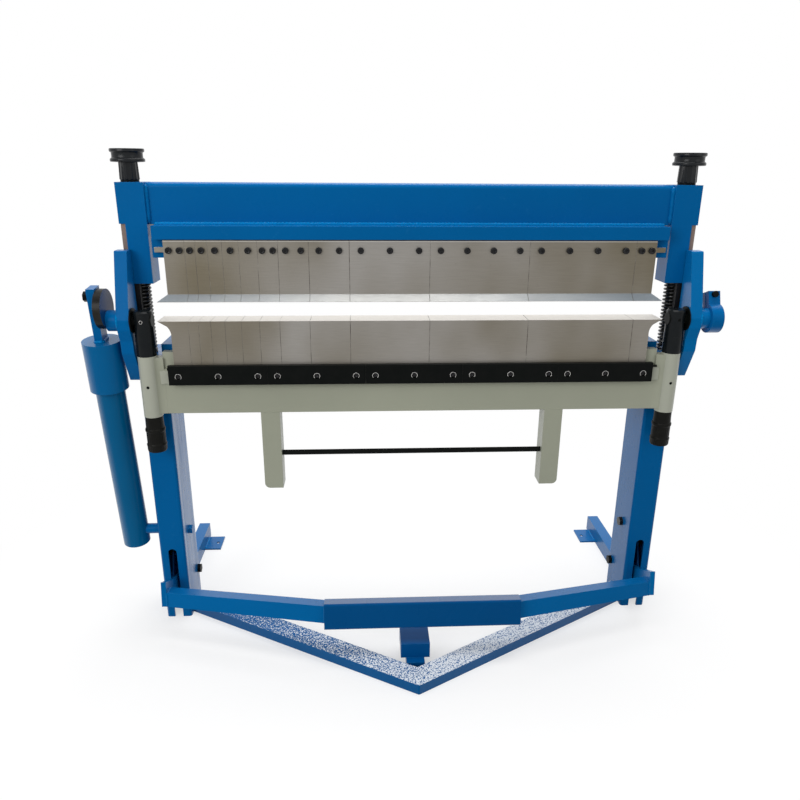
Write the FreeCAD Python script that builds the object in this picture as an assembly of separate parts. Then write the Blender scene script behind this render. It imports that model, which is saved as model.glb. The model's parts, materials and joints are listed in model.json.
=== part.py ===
"""Foot operated box and pan folding machine for sheet metal, built from its separate pieces.

Units are millimetres.  While the pieces are drawn, X runs along the blades, Y runs from front
to back with the folding line at zero, and Z is the height above the floor.  The finished pieces
are moved together so that the origin lies on the floor under the middle of the whole machine.
"""
import FreeCAD, Part
import math
import os

os.makedirs("parts", exist_ok=True)
V = FreeCAD.Vector

# Shared clearances
RUNNING_FIT = 0.05
SEAT_GAP = 0.3
SEAM_GAP = 0.25
SLIDE_GAP = 0.4

# Flat sides round screw heads, round their shanks and round the hand knobs
HEAD_SIDES = 12
SHANK_SIDES = 6
KNOB_SIDES = 24

# Folding line and the open gap under the fingers
FOLD_Z = 900.0
OPEN_GAP = 45.0

# Blade set: the same widths above and below, from left to right
SEGMENT_WIDTHS = [75.0, 25.0, 30.0, 35.0, 40.0, 45.0, 50.0, 75.0, 100.0, 200.0, 250.0, 270.0, 75.0]
BOLTS_IN_SEGMENT = [2, 1, 1, 1, 1, 1, 2, 2, 2, 3, 4, 4, 2]
BOLT_PITCH_TRIM = 0.22
LEAST_BOLT_PITCH = 26.0
BLADE_SHIFT = -1.6
HORN_LENGTH = 24.0
BLADE_LENGTH = sum(SEGMENT_WIDTHS)

# Upper fingers
FINGER_THICK = 13.0
FINGER_FACE_Y = 17.3
FINGER_PLATE_GAP = 0.5
TOE_RISE = 16.5
TOE_EDGE = 0.8
FINGER_BOLT_DROP = 26.0
FINGER_BOLT_HEAD_R = 8.0
FINGER_BOLT_HEAD_H = 7.0
FINGER_BOLT_R = 5.0

# Folding blades and bed blades
FOLD_BLADE_THICK = 13.0
FOLD_BLADE_HEIGHT = 124.5
PARTING_GAP = 0.3
HORN_ROOT_DROP = 42.0
HORN_MID_DROP = 13.0
HORN_MID_BACK = 22.0
HORN_ROOT_BACK = 30.5
HORN_SWEEP_IN = 2.5
HORN_SWEEP_UP = 4.0
BED_BLADE_HEIGHT = 67.0
BED_BLADE_DEPTH = 52.0
BED_BLADE_BODY = 16.0
BED_TOE_EDGE = 5.0
BED_TOE_DROP = 26.0

# Bed beam between the legs
BED_FRONT_Y = 26.0
BED_DEPTH = 114.0
BED_HEIGHT = 133.0
BED_WALL = 8.0
BED_BAR_HEIGHT = 34.0
BED_BAR_THICK = 16.0
BED_SCREW_R = 6.5
BED_SCREW_HEAD_H = 6.0

# Legs: box tube with a slot for the pedal lever
LEG_BLADE_GAP = 9.0
LEG_WIDTH = 72.0
LEG_FRONT_Y = 47.0
LEG_DEPTH = 131.0
LEG_WALL = 5.0
LEG_CORNER_R = 8.0
LEG_DROP = 38.0
LEG_CAP = 8.0
SLOT_INSET = 37.0
SLOT_WIDTH = 24.0
SLOT_TOP_Z = 226.0
ROD_HOLE_GAP = 1.0

# Cheek plates that carry the folding pivots
CHEEK_LAP = 15.5
CHEEK_THICK = 30.5
CHEEK_RISE = 168.0
CHEEK_TOP_CORNER_R = 6.0
CHEEK_NECK_Y = 2.0
CHEEK_NECK_RISE = 112.0
CHEEK_NOSE_Y = -27.0
CHEEK_NOSE_RISE = 5.0
CHEEK_NOSE_DROP = 20.0
CHEEK_NOSE_TOP_R = 18.0
CHEEK_NOSE_BOTTOM_R = 14.0
CHEEK_WAIST_Y = -16.0
CHEEK_WAIST_DROP = 50.0
CHEEK_HIP_Y = -14.0
CHEEK_HIP_DROP = 82.0
CHEEK_BEND_R = 20.0
CHEEK_TAIL_Y = 3.0
CHEEK_TAIL_DROP = 118.0
CHEEK_FOOT_Y = 24.0
CHEEK_FOOT_DROP = 162.0
BOSS_R = 26.0
LEFT_BOSS_LENGTH = 27.0
RIGHT_BOSS_LENGTH = 23.0
SHAFT_R = 16.0

# Guide bars beside the end blocks
GUIDE_OVERHANG = 3.0
GUIDE_WIDTH = 29.0
GUIDE_SETBACK = 7.0
GUIDE_THICK = 12.0
GUIDE_HEIGHT = 345.0
GUIDE_PAD_WIDTH = 12.0
GUIDE_PAD_HEIGHT = 265.0

# End blocks of the clamping beam
BLOCK_INSET = 10.0
BLOCK_GUIDE_WALL = 2.5
BLOCK_FRONT_Y = 49.2
BLOCK_DEPTH = 63.4
BLOCK_BOTTOM_RISE = 83.0
BLOCK_HEIGHT = 243.3
BLOCK_NOTCH_RISE = 146.0
GUIDE_HEADROOM = 7.0

# Clamping beam between the blocks
BEAM_HEIGHT = 98.8
BEAM_SET_BACK = 12.0
BEAM_CORNER_R = 12.0
BEAM_WALL = 6.0
PLATE_FRONT_Y = 11.0
PLATE_END_GAP = 18.0
PLATE_THICK = 32.0
BACK_BAR_THICK = 22.0
BACK_BAR_END_GAP = 9.0
BACK_BAR_HEIGHT = 46.5
STRIP_THICK = 7.7
STRIP_HEIGHT = 12.0
STRIP_END_GAP = 16.0

# Pull rods, springs and height knobs
ROD_INSET = 20.0
ROD_SETBACK = 43.0
ROD_R = 8.0
ROD_BOTTOM_Z = 185.0
ROD_STAND = 35.7
SPRING_OUTER_R = 23.0
SPRING_WIRE_R = 2.5
SPRING_TURNS = 20
SPRING_GROUND = 0.5
KNOB_RIM_R = 40.5
KNOB_WAIST_R = 37.5
KNOB_RIM_HEIGHT = 31.0
KNOB_LIP = 8.0
KNOB_LIP_SLOPE = 3.0
KNOB_BEVEL = 2.0
KNOB_STEM_R = 24.0
KNOB_STEM_TOP_R = 22.5
KNOB_STEM_HEIGHT = 41.0
WASHER_R = 22.0
WASHER_THICK = 4.4

# Hinge posts, sleeves and lower knobs
POST_R = 23.7
POST_RISE = 25.0
POST_DROP = 89.0
POST_CHAMFER = 4.0
SPIGOT_R = 15.0
SPIGOT_LENGTH = 161.0
STUD_R = 8.0
STUD_LENGTH = 65.0
SET_SCREW_R = 4.0
SET_SCREW_DEPTH = 6.0
SLEEVE_SCREW_DROP = 168.0
LOWER_KNOB_R = 24.3
LOWER_KNOB_COLLAR_R = 22.3
LOWER_KNOB_LIP_R = 25.5
LOWER_KNOB_HEIGHT = 97.7
LOWER_KNOB_COLLAR_HEIGHT = 28.0
LOWER_KNOB_LIP_HEIGHT = 8.0
LOWER_KNOB_LIP_SLOPE = 2.0
LOWER_KNOB_ROUND = 4.0
SHAFT_END_INSET = 0.9
FLANGE_R = 31.0
FLANGE_THICK = 2.7

# Crank on the left, collar on the right
CRANK_THICK = 18.0
CRANK_R = 49.0
CRANK_CENTRE_UP = 30.0
CRANK_PIN_UP = 60.0
CRANK_BORE_FLOOR = 2.0
COLLAR_WIDTH = 30.0
COLLAR_R = 37.0
COLLAR_EAR_THICK = 14.0
COLLAR_EAR_TOP = 68.0
COLLAR_SPLIT = 5.0
COLLAR_BOLT_UP = 59.0
COLLAR_BOLT_R = 5.0
COLLAR_BOLT_HEAD_R = 8.0
COLLAR_BOLT_HEAD_H = 8.0
COLLAR_LEAN = 20.0

# Balance strut: its lower end turns on a peg on the left leg, its head hangs on the crank
HANGER_THICK = 20.0
HANGER_DEPTH = 38.0
HANGER_TOP_OVER = 23.0
HANGER_LENGTH = 113.0
CRANK_BOLT_R = 8.0
CRANK_BOLT_HEAD_R = 13.0
CRANK_BOLT_HEAD_H = 13.0
PEG_Y = 75.6
PEG_Z = 279.0
PEG_R = 14.5
STRUT_HEAD_R = 47.5
STRUT_HEAD_LENGTH = 131.0
STRUT_CAP = 8.0
STRUT_TUBE_R = 36.0
STRUT_TUBE_TAIL = 40.0
STRUT_TUBE_OVERLAP = 15.0
STRUT_TUBE_WALL = 5.0
STRUT_SLIDE_GAP = 0.6
STRUT_FOOT_OVER = 25.0

# Folding apron
APRON_FRONT_Y = -6.0
APRON_BACK_Y = 21.5
APRON_HEIGHT = 162.0
APRON_LIP = 43.5
APRON_END_DROP = 14.0
APRON_STEP_GAP = 14.1
APRON_SEAT_LAP = 6.0
BAR_COUNT = 5
BAR_END_INSET = 15.0
BAR_HEIGHT = 50.2
BAR_LIP = 13.2
BAR_THICK = 20.0
SCREWS_PER_BAR = 3
SCREW_PITCH = 99.5
SCREW_UP = 22.0
SCREW_R = 4.0
SCREW_HEAD_R = 6.5
SCREW_SINK_R = 8.5
SCREW_SINK = 7.0
SCREW_HEAD_INSET = 0.5
APRON_SLIDE = 6.0

# Folding handles under the apron
HANDLE_OUT_X = 398.0
HANDLE_WIDTH = 49.0
HANDLE_DEPTH = 50.0
HANDLE_WALL = 6.0
HANDLE_LENGTH = 217.0
HANDLE_CORNER_R = 14.0
HANDLE_ROD_R = 7.0
HANDLE_ROD_UP = 97.0
HANDLE_ROD_SETBACK = 16.0

# Pedal frame, drawn level and then lifted to its rest tilt about its pivot
PIVOT_Y = 160.0
PIVOT_Z = 92.0
PIVOT_R = 8.0
PEDAL_TILT = 9.5
LEVER_SHIFT = 4.0
LEVER_THICK = 14.0
LEVER_FRONT_Y = -61.0
LEVER_UNDER = 19.0
LEVER_OVER = 20.0
LEVER_BEND = 5.0
LEVER_FRONT_OVER = 52.0
LEVER_HUB_R = 12.4
LEVER_HUB_GAP = 2.0
ARM_SIZE = 41.0
ARM_END_SIZE = 48.0
ARM_DEPTH = 38.0
ARM_START_Y = -40.0
ARM_END_Y = -152.0
TREADLE_LEFT_X = -239.0
TREADLE_RIGHT_X = 280.0
TREADLE_FRONT_Y = -188.0
TREADLE_DEPTH = 40.0
TREADLE_HEIGHT = 71.0
TREADLE_ROUND = 5.0

# Base on the floor
BASE_TIP_Y = -304.0
BASE_TIP_X = 3.0
BASE_TIP_R = 5.0
BASE_LEG_Y = 70.0
BASE_BAR_WIDTH = 59.0
BASE_HEIGHT = 28.5
STOP_HALF_WIDTH = 38.5
STOP_POST_HALF = 24.0
STOP_FRONT_Y = -200.0
STOP_DEPTH = 80.0
STOP_OVER_BASE = 2.0
STOP_HEIGHT = 42.5
FOOT_OVERHANG = 5.0
FOOT_WIDTH = 36.0
FOOT_HEIGHT = 50.0
FOOT_LENGTH = 342.0
TAB_LENGTH = 53.0
TAB_END_GAP = 18.0
TAB_WIDTH = 82.0
TAB_THICK = 5.0
TAB_HOLE_INSET = 16.0
TAB_HOLE_R = 6.0
LEG_BOLT_Y = 112.0
LEG_BOLT_Z = 254.0
LEG_BOLT_R = 8.0
BOLT_HEAD_R = 14.0
BOLT_HEAD_H = 10.0

# Heights that follow from the folding line
BED_TOP_Z = FOLD_Z - BED_BLADE_HEIGHT
LEG_TOP_Z = BED_TOP_Z - LEG_DROP
FOLD_BLADE_SEAT_Z = FOLD_Z - FOLD_BLADE_HEIGHT
FINGER_TIP_Z = FOLD_Z + OPEN_GAP
GUIDE_TOP_Z = LEG_TOP_Z + GUIDE_HEIGHT
BLOCK_BOTTOM_Z = FOLD_Z + BLOCK_BOTTOM_RISE
BLOCK_TOP_Z = BLOCK_BOTTOM_Z + BLOCK_HEIGHT
BLOCK_NOTCH_TOP_Z = BLOCK_BOTTOM_Z + BLOCK_NOTCH_RISE
BLOCK_SLOT_TOP_Z = GUIDE_TOP_Z + OPEN_GAP + GUIDE_HEADROOM
BEAM_BOTTOM_Z = BLOCK_TOP_Z - BEAM_HEIGHT
PLATE_BOTTOM_Z = BEAM_BOTTOM_Z - PLATE_THICK
FINGER_TOP_Z = PLATE_BOTTOM_Z - FINGER_PLATE_GAP
FINGER_BOLT_Z = FINGER_TOP_Z - FINGER_BOLT_DROP
ROD_TOP_Z = BLOCK_TOP_Z + ROD_STAND
KNOB_BOTTOM_Z = BLOCK_TOP_Z + WASHER_THICK + SEAT_GAP
KNOB_RIM_BOTTOM_Z = KNOB_BOTTOM_Z + KNOB_STEM_HEIGHT
POST_TOP_Z = FOLD_Z + POST_RISE
POST_BOTTOM_Z = FOLD_Z - POST_DROP
SLEEVE_BOTTOM_Z = POST_BOTTOM_Z - SPIGOT_LENGTH
STUD_BOTTOM_Z = SLEEVE_BOTTOM_Z - STUD_LENGTH
APRON_TOP_Z = FOLD_BLADE_SEAT_Z + APRON_LIP
APRON_BOTTOM_Z = APRON_TOP_Z - APRON_HEIGHT
BAR_TOP_Z = FOLD_BLADE_SEAT_Z + BAR_LIP
BAR_BOTTOM_Z = BAR_TOP_Z - BAR_HEIGHT
SCREW_Z = BAR_BOTTOM_Z + SCREW_UP
HANDLE_BOTTOM_Z = APRON_BOTTOM_Z - HANDLE_LENGTH
HANDLE_ROD_Z = HANDLE_BOTTOM_Z + HANDLE_ROD_UP
PIN_Z = FOLD_Z + CRANK_PIN_UP

# Places along the machine that follow from the blade length
LEG_IN_X = BLADE_LENGTH / 2 + LEG_BLADE_GAP
LEG_OUT_X = LEG_IN_X + LEG_WIDTH
SLOT_X = LEG_IN_X + SLOT_INSET
LEVER_X = SLOT_X + LEVER_SHIFT
CHEEK_IN_X = LEG_OUT_X - CHEEK_LAP
CHEEK_OUT_X = CHEEK_IN_X + CHEEK_THICK
GUIDE_OUT_X = LEG_OUT_X + GUIDE_OVERHANG
GUIDE_IN_X = GUIDE_OUT_X - GUIDE_WIDTH
GUIDE_PAD_X = GUIDE_OUT_X - GUIDE_PAD_WIDTH
BLOCK_IN_X = LEG_IN_X + BLOCK_INSET
BLOCK_OUT_X = GUIDE_OUT_X + BLOCK_GUIDE_WALL
BLOCK_NOTCH_X = GUIDE_PAD_X - SLIDE_GAP
PLATE_HALF_LENGTH = BLOCK_IN_X - PLATE_END_GAP
BACK_BAR_HALF_LENGTH = BLOCK_IN_X - BACK_BAR_END_GAP
STRIP_HALF_LENGTH = BLOCK_IN_X - STRIP_END_GAP
ROD_X = LEG_OUT_X - ROD_INSET
POST_X = CHEEK_IN_X - SEAT_GAP - FLANGE_THICK - POST_R
SHAFT_IN_X = POST_X - POST_R + SHAFT_END_INSET
LEFT_BOSS_END_X = CHEEK_OUT_X + LEFT_BOSS_LENGTH
RIGHT_BOSS_END_X = CHEEK_OUT_X + RIGHT_BOSS_LENGTH
CRANK_X = LEFT_BOSS_END_X + SEAT_GAP
COLLAR_IN_X = RIGHT_BOSS_END_X + SEAT_GAP
COLLAR_OUT_X = COLLAR_IN_X + COLLAR_WIDTH
STRUT_X = CRANK_X + CRANK_THICK + SEAT_GAP + HANGER_THICK / 2
APRON_STEP_HALF = POST_X - POST_R - APRON_STEP_GAP
APRON_END_TOP_Z = APRON_TOP_Z - APRON_END_DROP
BAR_HALF_LENGTH = BLADE_LENGTH / 2 - BAR_END_INSET
FOOT_OUT_X = LEG_OUT_X + FOOT_OVERHANG
FOOT_IN_X = FOOT_OUT_X - FOOT_WIDTH
TAB_IN_X = FOOT_IN_X - TAB_LENGTH

# Places from front to back, and the strut's lean and reach
FINGER_BACK_Y = FINGER_FACE_Y + FINGER_THICK
STRIP_BACK_Y = FINGER_BACK_Y + STRIP_THICK
LEG_BACK_Y = LEG_FRONT_Y + LEG_DEPTH
GUIDE_FRONT_Y = LEG_FRONT_Y + GUIDE_SETBACK
BLOCK_BACK_Y = BLOCK_FRONT_Y + BLOCK_DEPTH
BLOCK_NOTCH_BACK_Y = GUIDE_FRONT_Y + GUIDE_THICK + SLIDE_GAP
ROD_Y = LEG_FRONT_Y + ROD_SETBACK
FOOT_END_Y = LEG_BACK_Y + FOOT_LENGTH
HANDLE_ROD_Y = APRON_FRONT_Y + HANDLE_ROD_SETBACK
STRUT_LEAN = math.degrees(math.atan2(PEG_Y, PIN_Z - PEG_Z))
STRUT_REACH = math.hypot(PEG_Y, PIN_Z - PEG_Z)


def box(x0, x1, y0, y1, z0, z1):
    """A block between two corners."""
    return Part.makeBox(x1 - x0, y1 - y0, z1 - z0, V(x0, y0, z0))


def rod_x(x0, x1, y, z, r):
    return Part.makeCylinder(r, x1 - x0, V(x0, y, z), V(1, 0, 0))


def rod_y(y0, y1, x, z, r):
    return Part.makeCylinder(r, y1 - y0, V(x, y0, z), V(0, 1, 0))


def rod_z(z0, z1, x, y, r):
    return Part.makeCylinder(r, z1 - z0, V(x, y, z0), V(0, 0, 1))


def rounded_wire(points, radii):
    """A closed wire through the points, with each corner rounded by its radius (0 keeps it sharp)."""
    edges = []
    starts = []
    ends = []
    count = len(points)
    for i, corner in enumerate(points):
        before = points[i - 1] - corner
        after = points[(i + 1) % count] - corner
        if radii[i] == 0:
            starts.append(corner)
            ends.append(corner)
            continue
        half = before.getAngle(after) / 2
        back = radii[i] / math.tan(half)
        before.normalize()
        after.normalize()
        start = corner + before * back
        end = corner + after * back
        middle = before + after
        middle.normalize()
        touch = corner + middle * (radii[i] / math.sin(half) - radii[i])
        starts.append(start)
        ends.append(end)
        edges.append((i, Part.Arc(start, touch, end).toShape()))
    arcs = dict(edges)
    ordered = []
    for i in range(count):
        if i in arcs:
            ordered.append(arcs[i])
        following = starts[(i + 1) % count]
        if (following - ends[i]).Length > 1e-6:
            ordered.append(Part.makeLine(ends[i], following))
    return Part.Wire(ordered)


def prism(points, radii, run):
    """A solid swept straight along run from a flat outline."""
    return Part.Face(rounded_wire(points, radii)).extrude(run)


def prism_yz(outline, x0, x1, radii=None):
    points = [V(x0, y, z) for y, z in outline]
    return prism(points, radii or [0] * len(points), V(x1 - x0, 0, 0))


def prism_xz(outline, y0, y1, radii=None):
    points = [V(x, y0, z) for x, z in outline]
    return prism(points, radii or [0] * len(points), V(0, y1 - y0, 0))


def prism_xy(outline, z0, z1, radii=None):
    points = [V(x, y, z0) for x, y in outline]
    return prism(points, radii or [0] * len(points), V(0, 0, z1 - z0))


def turned(profile, x, y):
    """A solid turned about an upright axis from (radius, height) points that start on the axis."""
    points = [V(x + r, y, z) for r, z in profile]
    wire = Part.makePolygon(points + [points[0]])
    return Part.Face(wire).revolve(V(x, y, 0), V(0, 0, 1), 360)


def faceted(profile, x, y):
    """The solid of turned() with flat sides round it, from (radius, height) points off the axis."""
    angles = [2 * math.pi * (k % KNOB_SIDES) / KNOB_SIDES for k in range(KNOB_SIDES + 1)]
    rings = [[V(x + r * math.cos(a), y + r * math.sin(a), z) for a in angles] for r, z in profile]
    faces = [Part.Face(Part.makePolygon(rings[0][::-1])), Part.Face(Part.makePolygon(rings[-1]))]
    for lower, upper in zip(rings, rings[1:]):
        for k in range(KNOB_SIDES):
            corners = [lower[k], lower[k + 1], upper[k + 1], upper[k]]
            faces.append(Part.Face(Part.makePolygon(corners + [corners[0]])))
    return Part.makeSolid(Part.makeShell(faces)).removeSplitter()


def regular_outline(a, b, radius, sides):
    """Corners of a regular outline about the point (a, b)."""
    step = 2 * math.pi / sides
    return [(a + radius * math.cos(step * (k + 0.5)), b + radius * math.sin(step * (k + 0.5)))
            for k in range(sides)]


def bar_x(x0, x1, y, z, r, sides):
    """A straight bar along X with a regular section."""
    return prism_yz(regular_outline(y, z, r, sides), x0, x1)


def bar_y(y0, y1, x, z, r, sides):
    """A straight bar along Y with a regular section."""
    return prism_xz(regular_outline(x, z, r, sides), y0, y1)


def mirrored(shape, side):
    """The shape as drawn for the right (+1), or its mirror image for the left (-1)."""
    if side > 0:
        return shape
    return shape.mirror(V(0, 0, 0), V(1, 0, 0))


def both(maker):
    return Part.makeCompound([mirrored(maker(), side) for side in (-1, 1)])


def segment_spans():
    """Start and end of every blade segment along X, with half a seam off each end."""
    spans = []
    start = BLADE_SHIFT - BLADE_LENGTH / 2
    for width in SEGMENT_WIDTHS:
        spans.append((start + SEAM_GAP / 2, start + width - SEAM_GAP / 2))
        start += width
    return spans


def finger_bolt_places():
    """X of every bolt, set out evenly about the middle of its segment."""
    places = []
    for (x0, x1), count in zip(segment_spans(), BOLTS_IN_SEGMENT):
        width = x1 - x0
        middle = (x0 + x1) / 2
        pitch = max(LEAST_BOLT_PITCH, width / count)
        if count > 2:
            pitch = width / (count - BOLT_PITCH_TRIM)
        if (x0, x1) == segment_spans()[0]:
            middle += HORN_LENGTH / 2
            pitch = LEAST_BOLT_PITCH
        if (x0, x1) == segment_spans()[-1]:
            middle -= HORN_LENGTH / 2
            pitch = LEAST_BOLT_PITCH
        for i in range(count):
            places.append(middle + (i - (count - 1) / 2) * pitch)
    return places


def upper_fingers():
    outline = [
        (0, FINGER_TIP_Z),
        (FINGER_BACK_Y, FINGER_TIP_Z),
        (FINGER_BACK_Y, FINGER_TOP_Z),
        (FINGER_FACE_Y, FINGER_TOP_Z),
        (FINGER_FACE_Y, FINGER_TIP_Z + TOE_RISE),
        (0, FINGER_TIP_Z + TOE_EDGE),
    ]
    bolts = finger_bolt_places()
    end = BLADE_LENGTH / 2
    blades = []
    for x0, x1 in segment_spans():
        blade = prism_yz(outline, x0, x1)
        for side in (-1, 1):
            tip = BLADE_SHIFT + side * end
            root = tip - side * HORN_LENGTH
            beyond = tip + side
            if x0 <= root <= x1:
                waste = prism_xz([
                    (tip, FINGER_TIP_Z),
                    (root, FINGER_TIP_Z + TOE_RISE),
                    (root, FINGER_TOP_Z + 1),
                    (beyond, FINGER_TOP_Z + 1),
                    (beyond, FINGER_TIP_Z),
                ], -1, FINGER_BACK_Y + 1)
                blade = blade.cut(waste)
        for x in bolts:
            if x0 < x < x1:
                hole = bar_y(FINGER_FACE_Y - 1, FINGER_BACK_Y + 1, x, FINGER_BOLT_Z,
                             FINGER_BOLT_R + RUNNING_FIT, SHANK_SIDES)
                blade = blade.cut(hole)
        blades.append(blade)
    return Part.makeCompound(blades)


def finger_bolts():
    bolts = []
    for x in finger_bolt_places():
        head = bar_y(FINGER_FACE_Y - FINGER_BOLT_HEAD_H, FINGER_FACE_Y, x, FINGER_BOLT_Z,
                     FINGER_BOLT_HEAD_R, HEAD_SIDES)
        shank = bar_y(FINGER_FACE_Y, STRIP_BACK_Y, x, FINGER_BOLT_Z, FINGER_BOLT_R, SHANK_SIDES)
        bolts.append(head.fuse(shank))
    return Part.makeCompound(bolts)


def backing_strip():
    strip = box(-STRIP_HALF_LENGTH, STRIP_HALF_LENGTH, FINGER_BACK_Y, STRIP_BACK_Y,
                FINGER_BOLT_Z - STRIP_HEIGHT / 2, FINGER_BOLT_Z + STRIP_HEIGHT / 2)
    for x in finger_bolt_places():
        hole = bar_y(FINGER_BACK_Y - 1, STRIP_BACK_Y + 1, x, FINGER_BOLT_Z,
                     FINGER_BOLT_R + RUNNING_FIT, SHANK_SIDES)
        strip = strip.cut(hole)
    return strip


def backing_bar():
    return box(-BACK_BAR_HALF_LENGTH, BACK_BAR_HALF_LENGTH, STRIP_BACK_Y, STRIP_BACK_Y + BACK_BAR_THICK,
               PLATE_BOTTOM_Z - BACK_BAR_HEIGHT, PLATE_BOTTOM_Z)


def finger_plate():
    return box(-PLATE_HALF_LENGTH, PLATE_HALF_LENGTH, PLATE_FRONT_Y, BLOCK_BACK_Y,
               PLATE_BOTTOM_Z, BEAM_BOTTOM_Z)


def clamping_beam():
    """Box section between the end blocks, set back from their fronts, its long top corners rounded."""
    front = BLOCK_FRONT_Y + BEAM_SET_BACK
    outline = [
        (front, BEAM_BOTTOM_Z),
        (BLOCK_BACK_Y, BEAM_BOTTOM_Z),
        (BLOCK_BACK_Y, BLOCK_TOP_Z),
        (front, BLOCK_TOP_Z),
    ]
    tube = prism_yz(outline, -BLOCK_IN_X, BLOCK_IN_X, [0, 0, BEAM_CORNER_R, BEAM_CORNER_R])
    hollow = box(-BLOCK_IN_X - 1, BLOCK_IN_X + 1, front + BEAM_WALL, BLOCK_BACK_Y - BEAM_WALL,
                 BEAM_BOTTOM_Z + BEAM_WALL, BLOCK_TOP_Z - BEAM_WALL)
    return tube.cut(hollow)


def end_block():
    """End block with the bore for the pull rod, the slot for the guide bar and the corner notch."""
    block = box(BLOCK_IN_X, BLOCK_OUT_X, BLOCK_FRONT_Y, BLOCK_BACK_Y, BLOCK_BOTTOM_Z, BLOCK_TOP_Z)
    slot = box(GUIDE_IN_X - SLIDE_GAP, GUIDE_OUT_X + SLIDE_GAP, GUIDE_FRONT_Y - SLIDE_GAP,
               GUIDE_FRONT_Y + GUIDE_THICK + SLIDE_GAP, BLOCK_BOTTOM_Z - 1, BLOCK_SLOT_TOP_Z)
    notch = box(BLOCK_NOTCH_X, BLOCK_OUT_X + 1, BLOCK_FRONT_Y - 1, BLOCK_NOTCH_BACK_Y,
                BLOCK_BOTTOM_Z - 1, BLOCK_NOTCH_TOP_Z)
    bore = rod_z(BLOCK_BOTTOM_Z - 1, BLOCK_TOP_Z + 1, ROD_X, ROD_Y, ROD_R + RUNNING_FIT)
    return block.cut(slot).cut(notch).cut(bore)


def guide_bar():
    bar = box(GUIDE_IN_X, GUIDE_OUT_X, GUIDE_FRONT_Y, GUIDE_FRONT_Y + GUIDE_THICK, LEG_TOP_Z, GUIDE_TOP_Z)
    pad = box(GUIDE_PAD_X, GUIDE_OUT_X, LEG_FRONT_Y, GUIDE_FRONT_Y,
              LEG_TOP_Z, LEG_TOP_Z + GUIDE_PAD_HEIGHT)
    return bar.fuse(pad).removeSplitter()


def pull_rod():
    return rod_z(ROD_BOTTOM_Z, ROD_TOP_Z, ROD_X, ROD_Y, ROD_R)


def helix_point(turn, start_z, pitch, radius):
    angle = 2 * math.pi * turn
    return V(ROD_X + radius * math.cos(angle), ROD_Y + radius * math.sin(angle), start_z + pitch * turn)


def helix_tangent(turn, pitch, radius):
    angle = 2 * math.pi * turn
    direction = V(-radius * math.sin(angle), radius * math.cos(angle), pitch / (2 * math.pi))
    direction.normalize()
    return direction


def arc_from_tangent(start, control, end):
    """Arc that leaves start towards control and reaches end from control, both equally far away."""
    chord_middle = (start + end) * 0.5
    half = (control - start).getAngle(end - start)
    touch = chord_middle + (control - chord_middle) * (math.tan(half / 2) / math.tan(half))
    return Part.Arc(start, touch, end).toShape()


def biarc(start, start_way, end, end_way):
    """Two arcs that join two points and meet in a common tangent."""
    span = end - start
    ways = start_way + end_way
    a = ways.dot(ways) - 4
    b = -2 * span.dot(ways)
    c = span.dot(span)
    reach = (-b - math.sqrt(b * b - 4 * a * c)) / (2 * a)
    first = start + start_way * reach
    second = end - end_way * reach
    joint = (first + second) * 0.5
    return [arc_from_tangent(start, first, joint), arc_from_tangent(joint, second, end)]


def return_spring():
    """Open coil spring of square wire round the pull rod, from the leg's cap up to the end block."""
    radius = SPRING_OUTER_R - SPRING_WIRE_R
    start_z = LEG_TOP_Z + SPRING_WIRE_R - SPRING_GROUND
    end_z = BLOCK_BOTTOM_Z - SPRING_WIRE_R + SPRING_GROUND
    pitch = (end_z - start_z) / SPRING_TURNS
    steps = SPRING_TURNS * 2
    edges = []
    for i in range(steps):
        t0 = i / 2
        t1 = (i + 1) / 2
        edges += biarc(helix_point(t0, start_z, pitch, radius), helix_tangent(t0, pitch, radius),
                       helix_point(t1, start_z, pitch, radius), helix_tangent(t1, pitch, radius))
    path = Part.Wire(edges)
    start = helix_point(0, start_z, pitch, radius)
    way = helix_tangent(0, pitch, radius)
    outward = V(1, 0, 0)
    across = way.cross(outward)
    corners = [start + way_out * SPRING_WIRE_R for way_out in (outward, across, -outward, -across)]
    section = Part.makePolygon(corners + [corners[0]])
    spring = path.makePipeShell([section], True, False)
    ground = box(ROD_X - 2 * SPRING_OUTER_R, ROD_X + 2 * SPRING_OUTER_R,
                 ROD_Y - 2 * SPRING_OUTER_R, ROD_Y + 2 * SPRING_OUTER_R,
                 LEG_TOP_Z, BLOCK_BOTTOM_Z)
    spring = spring.common(ground)
    print("spring: least gap between turns", round(spring_gap(start_z, pitch, radius), 2), "mm")
    return spring


def spring_gap(start_z, pitch, radius):
    """Least gap of the tube to itself, measured on points along its centre line."""
    per_turn = 24
    count = SPRING_TURNS * per_turn + 1
    points = [helix_point(i / per_turn, start_z, pitch, radius) for i in range(count)]
    least = pitch
    for i, point in enumerate(points):
        for other in points[i + per_turn // 2:i + 2 * per_turn]:
            least = min(least, (other - point).Length)
    return least - 2 * SPRING_WIRE_R


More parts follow.
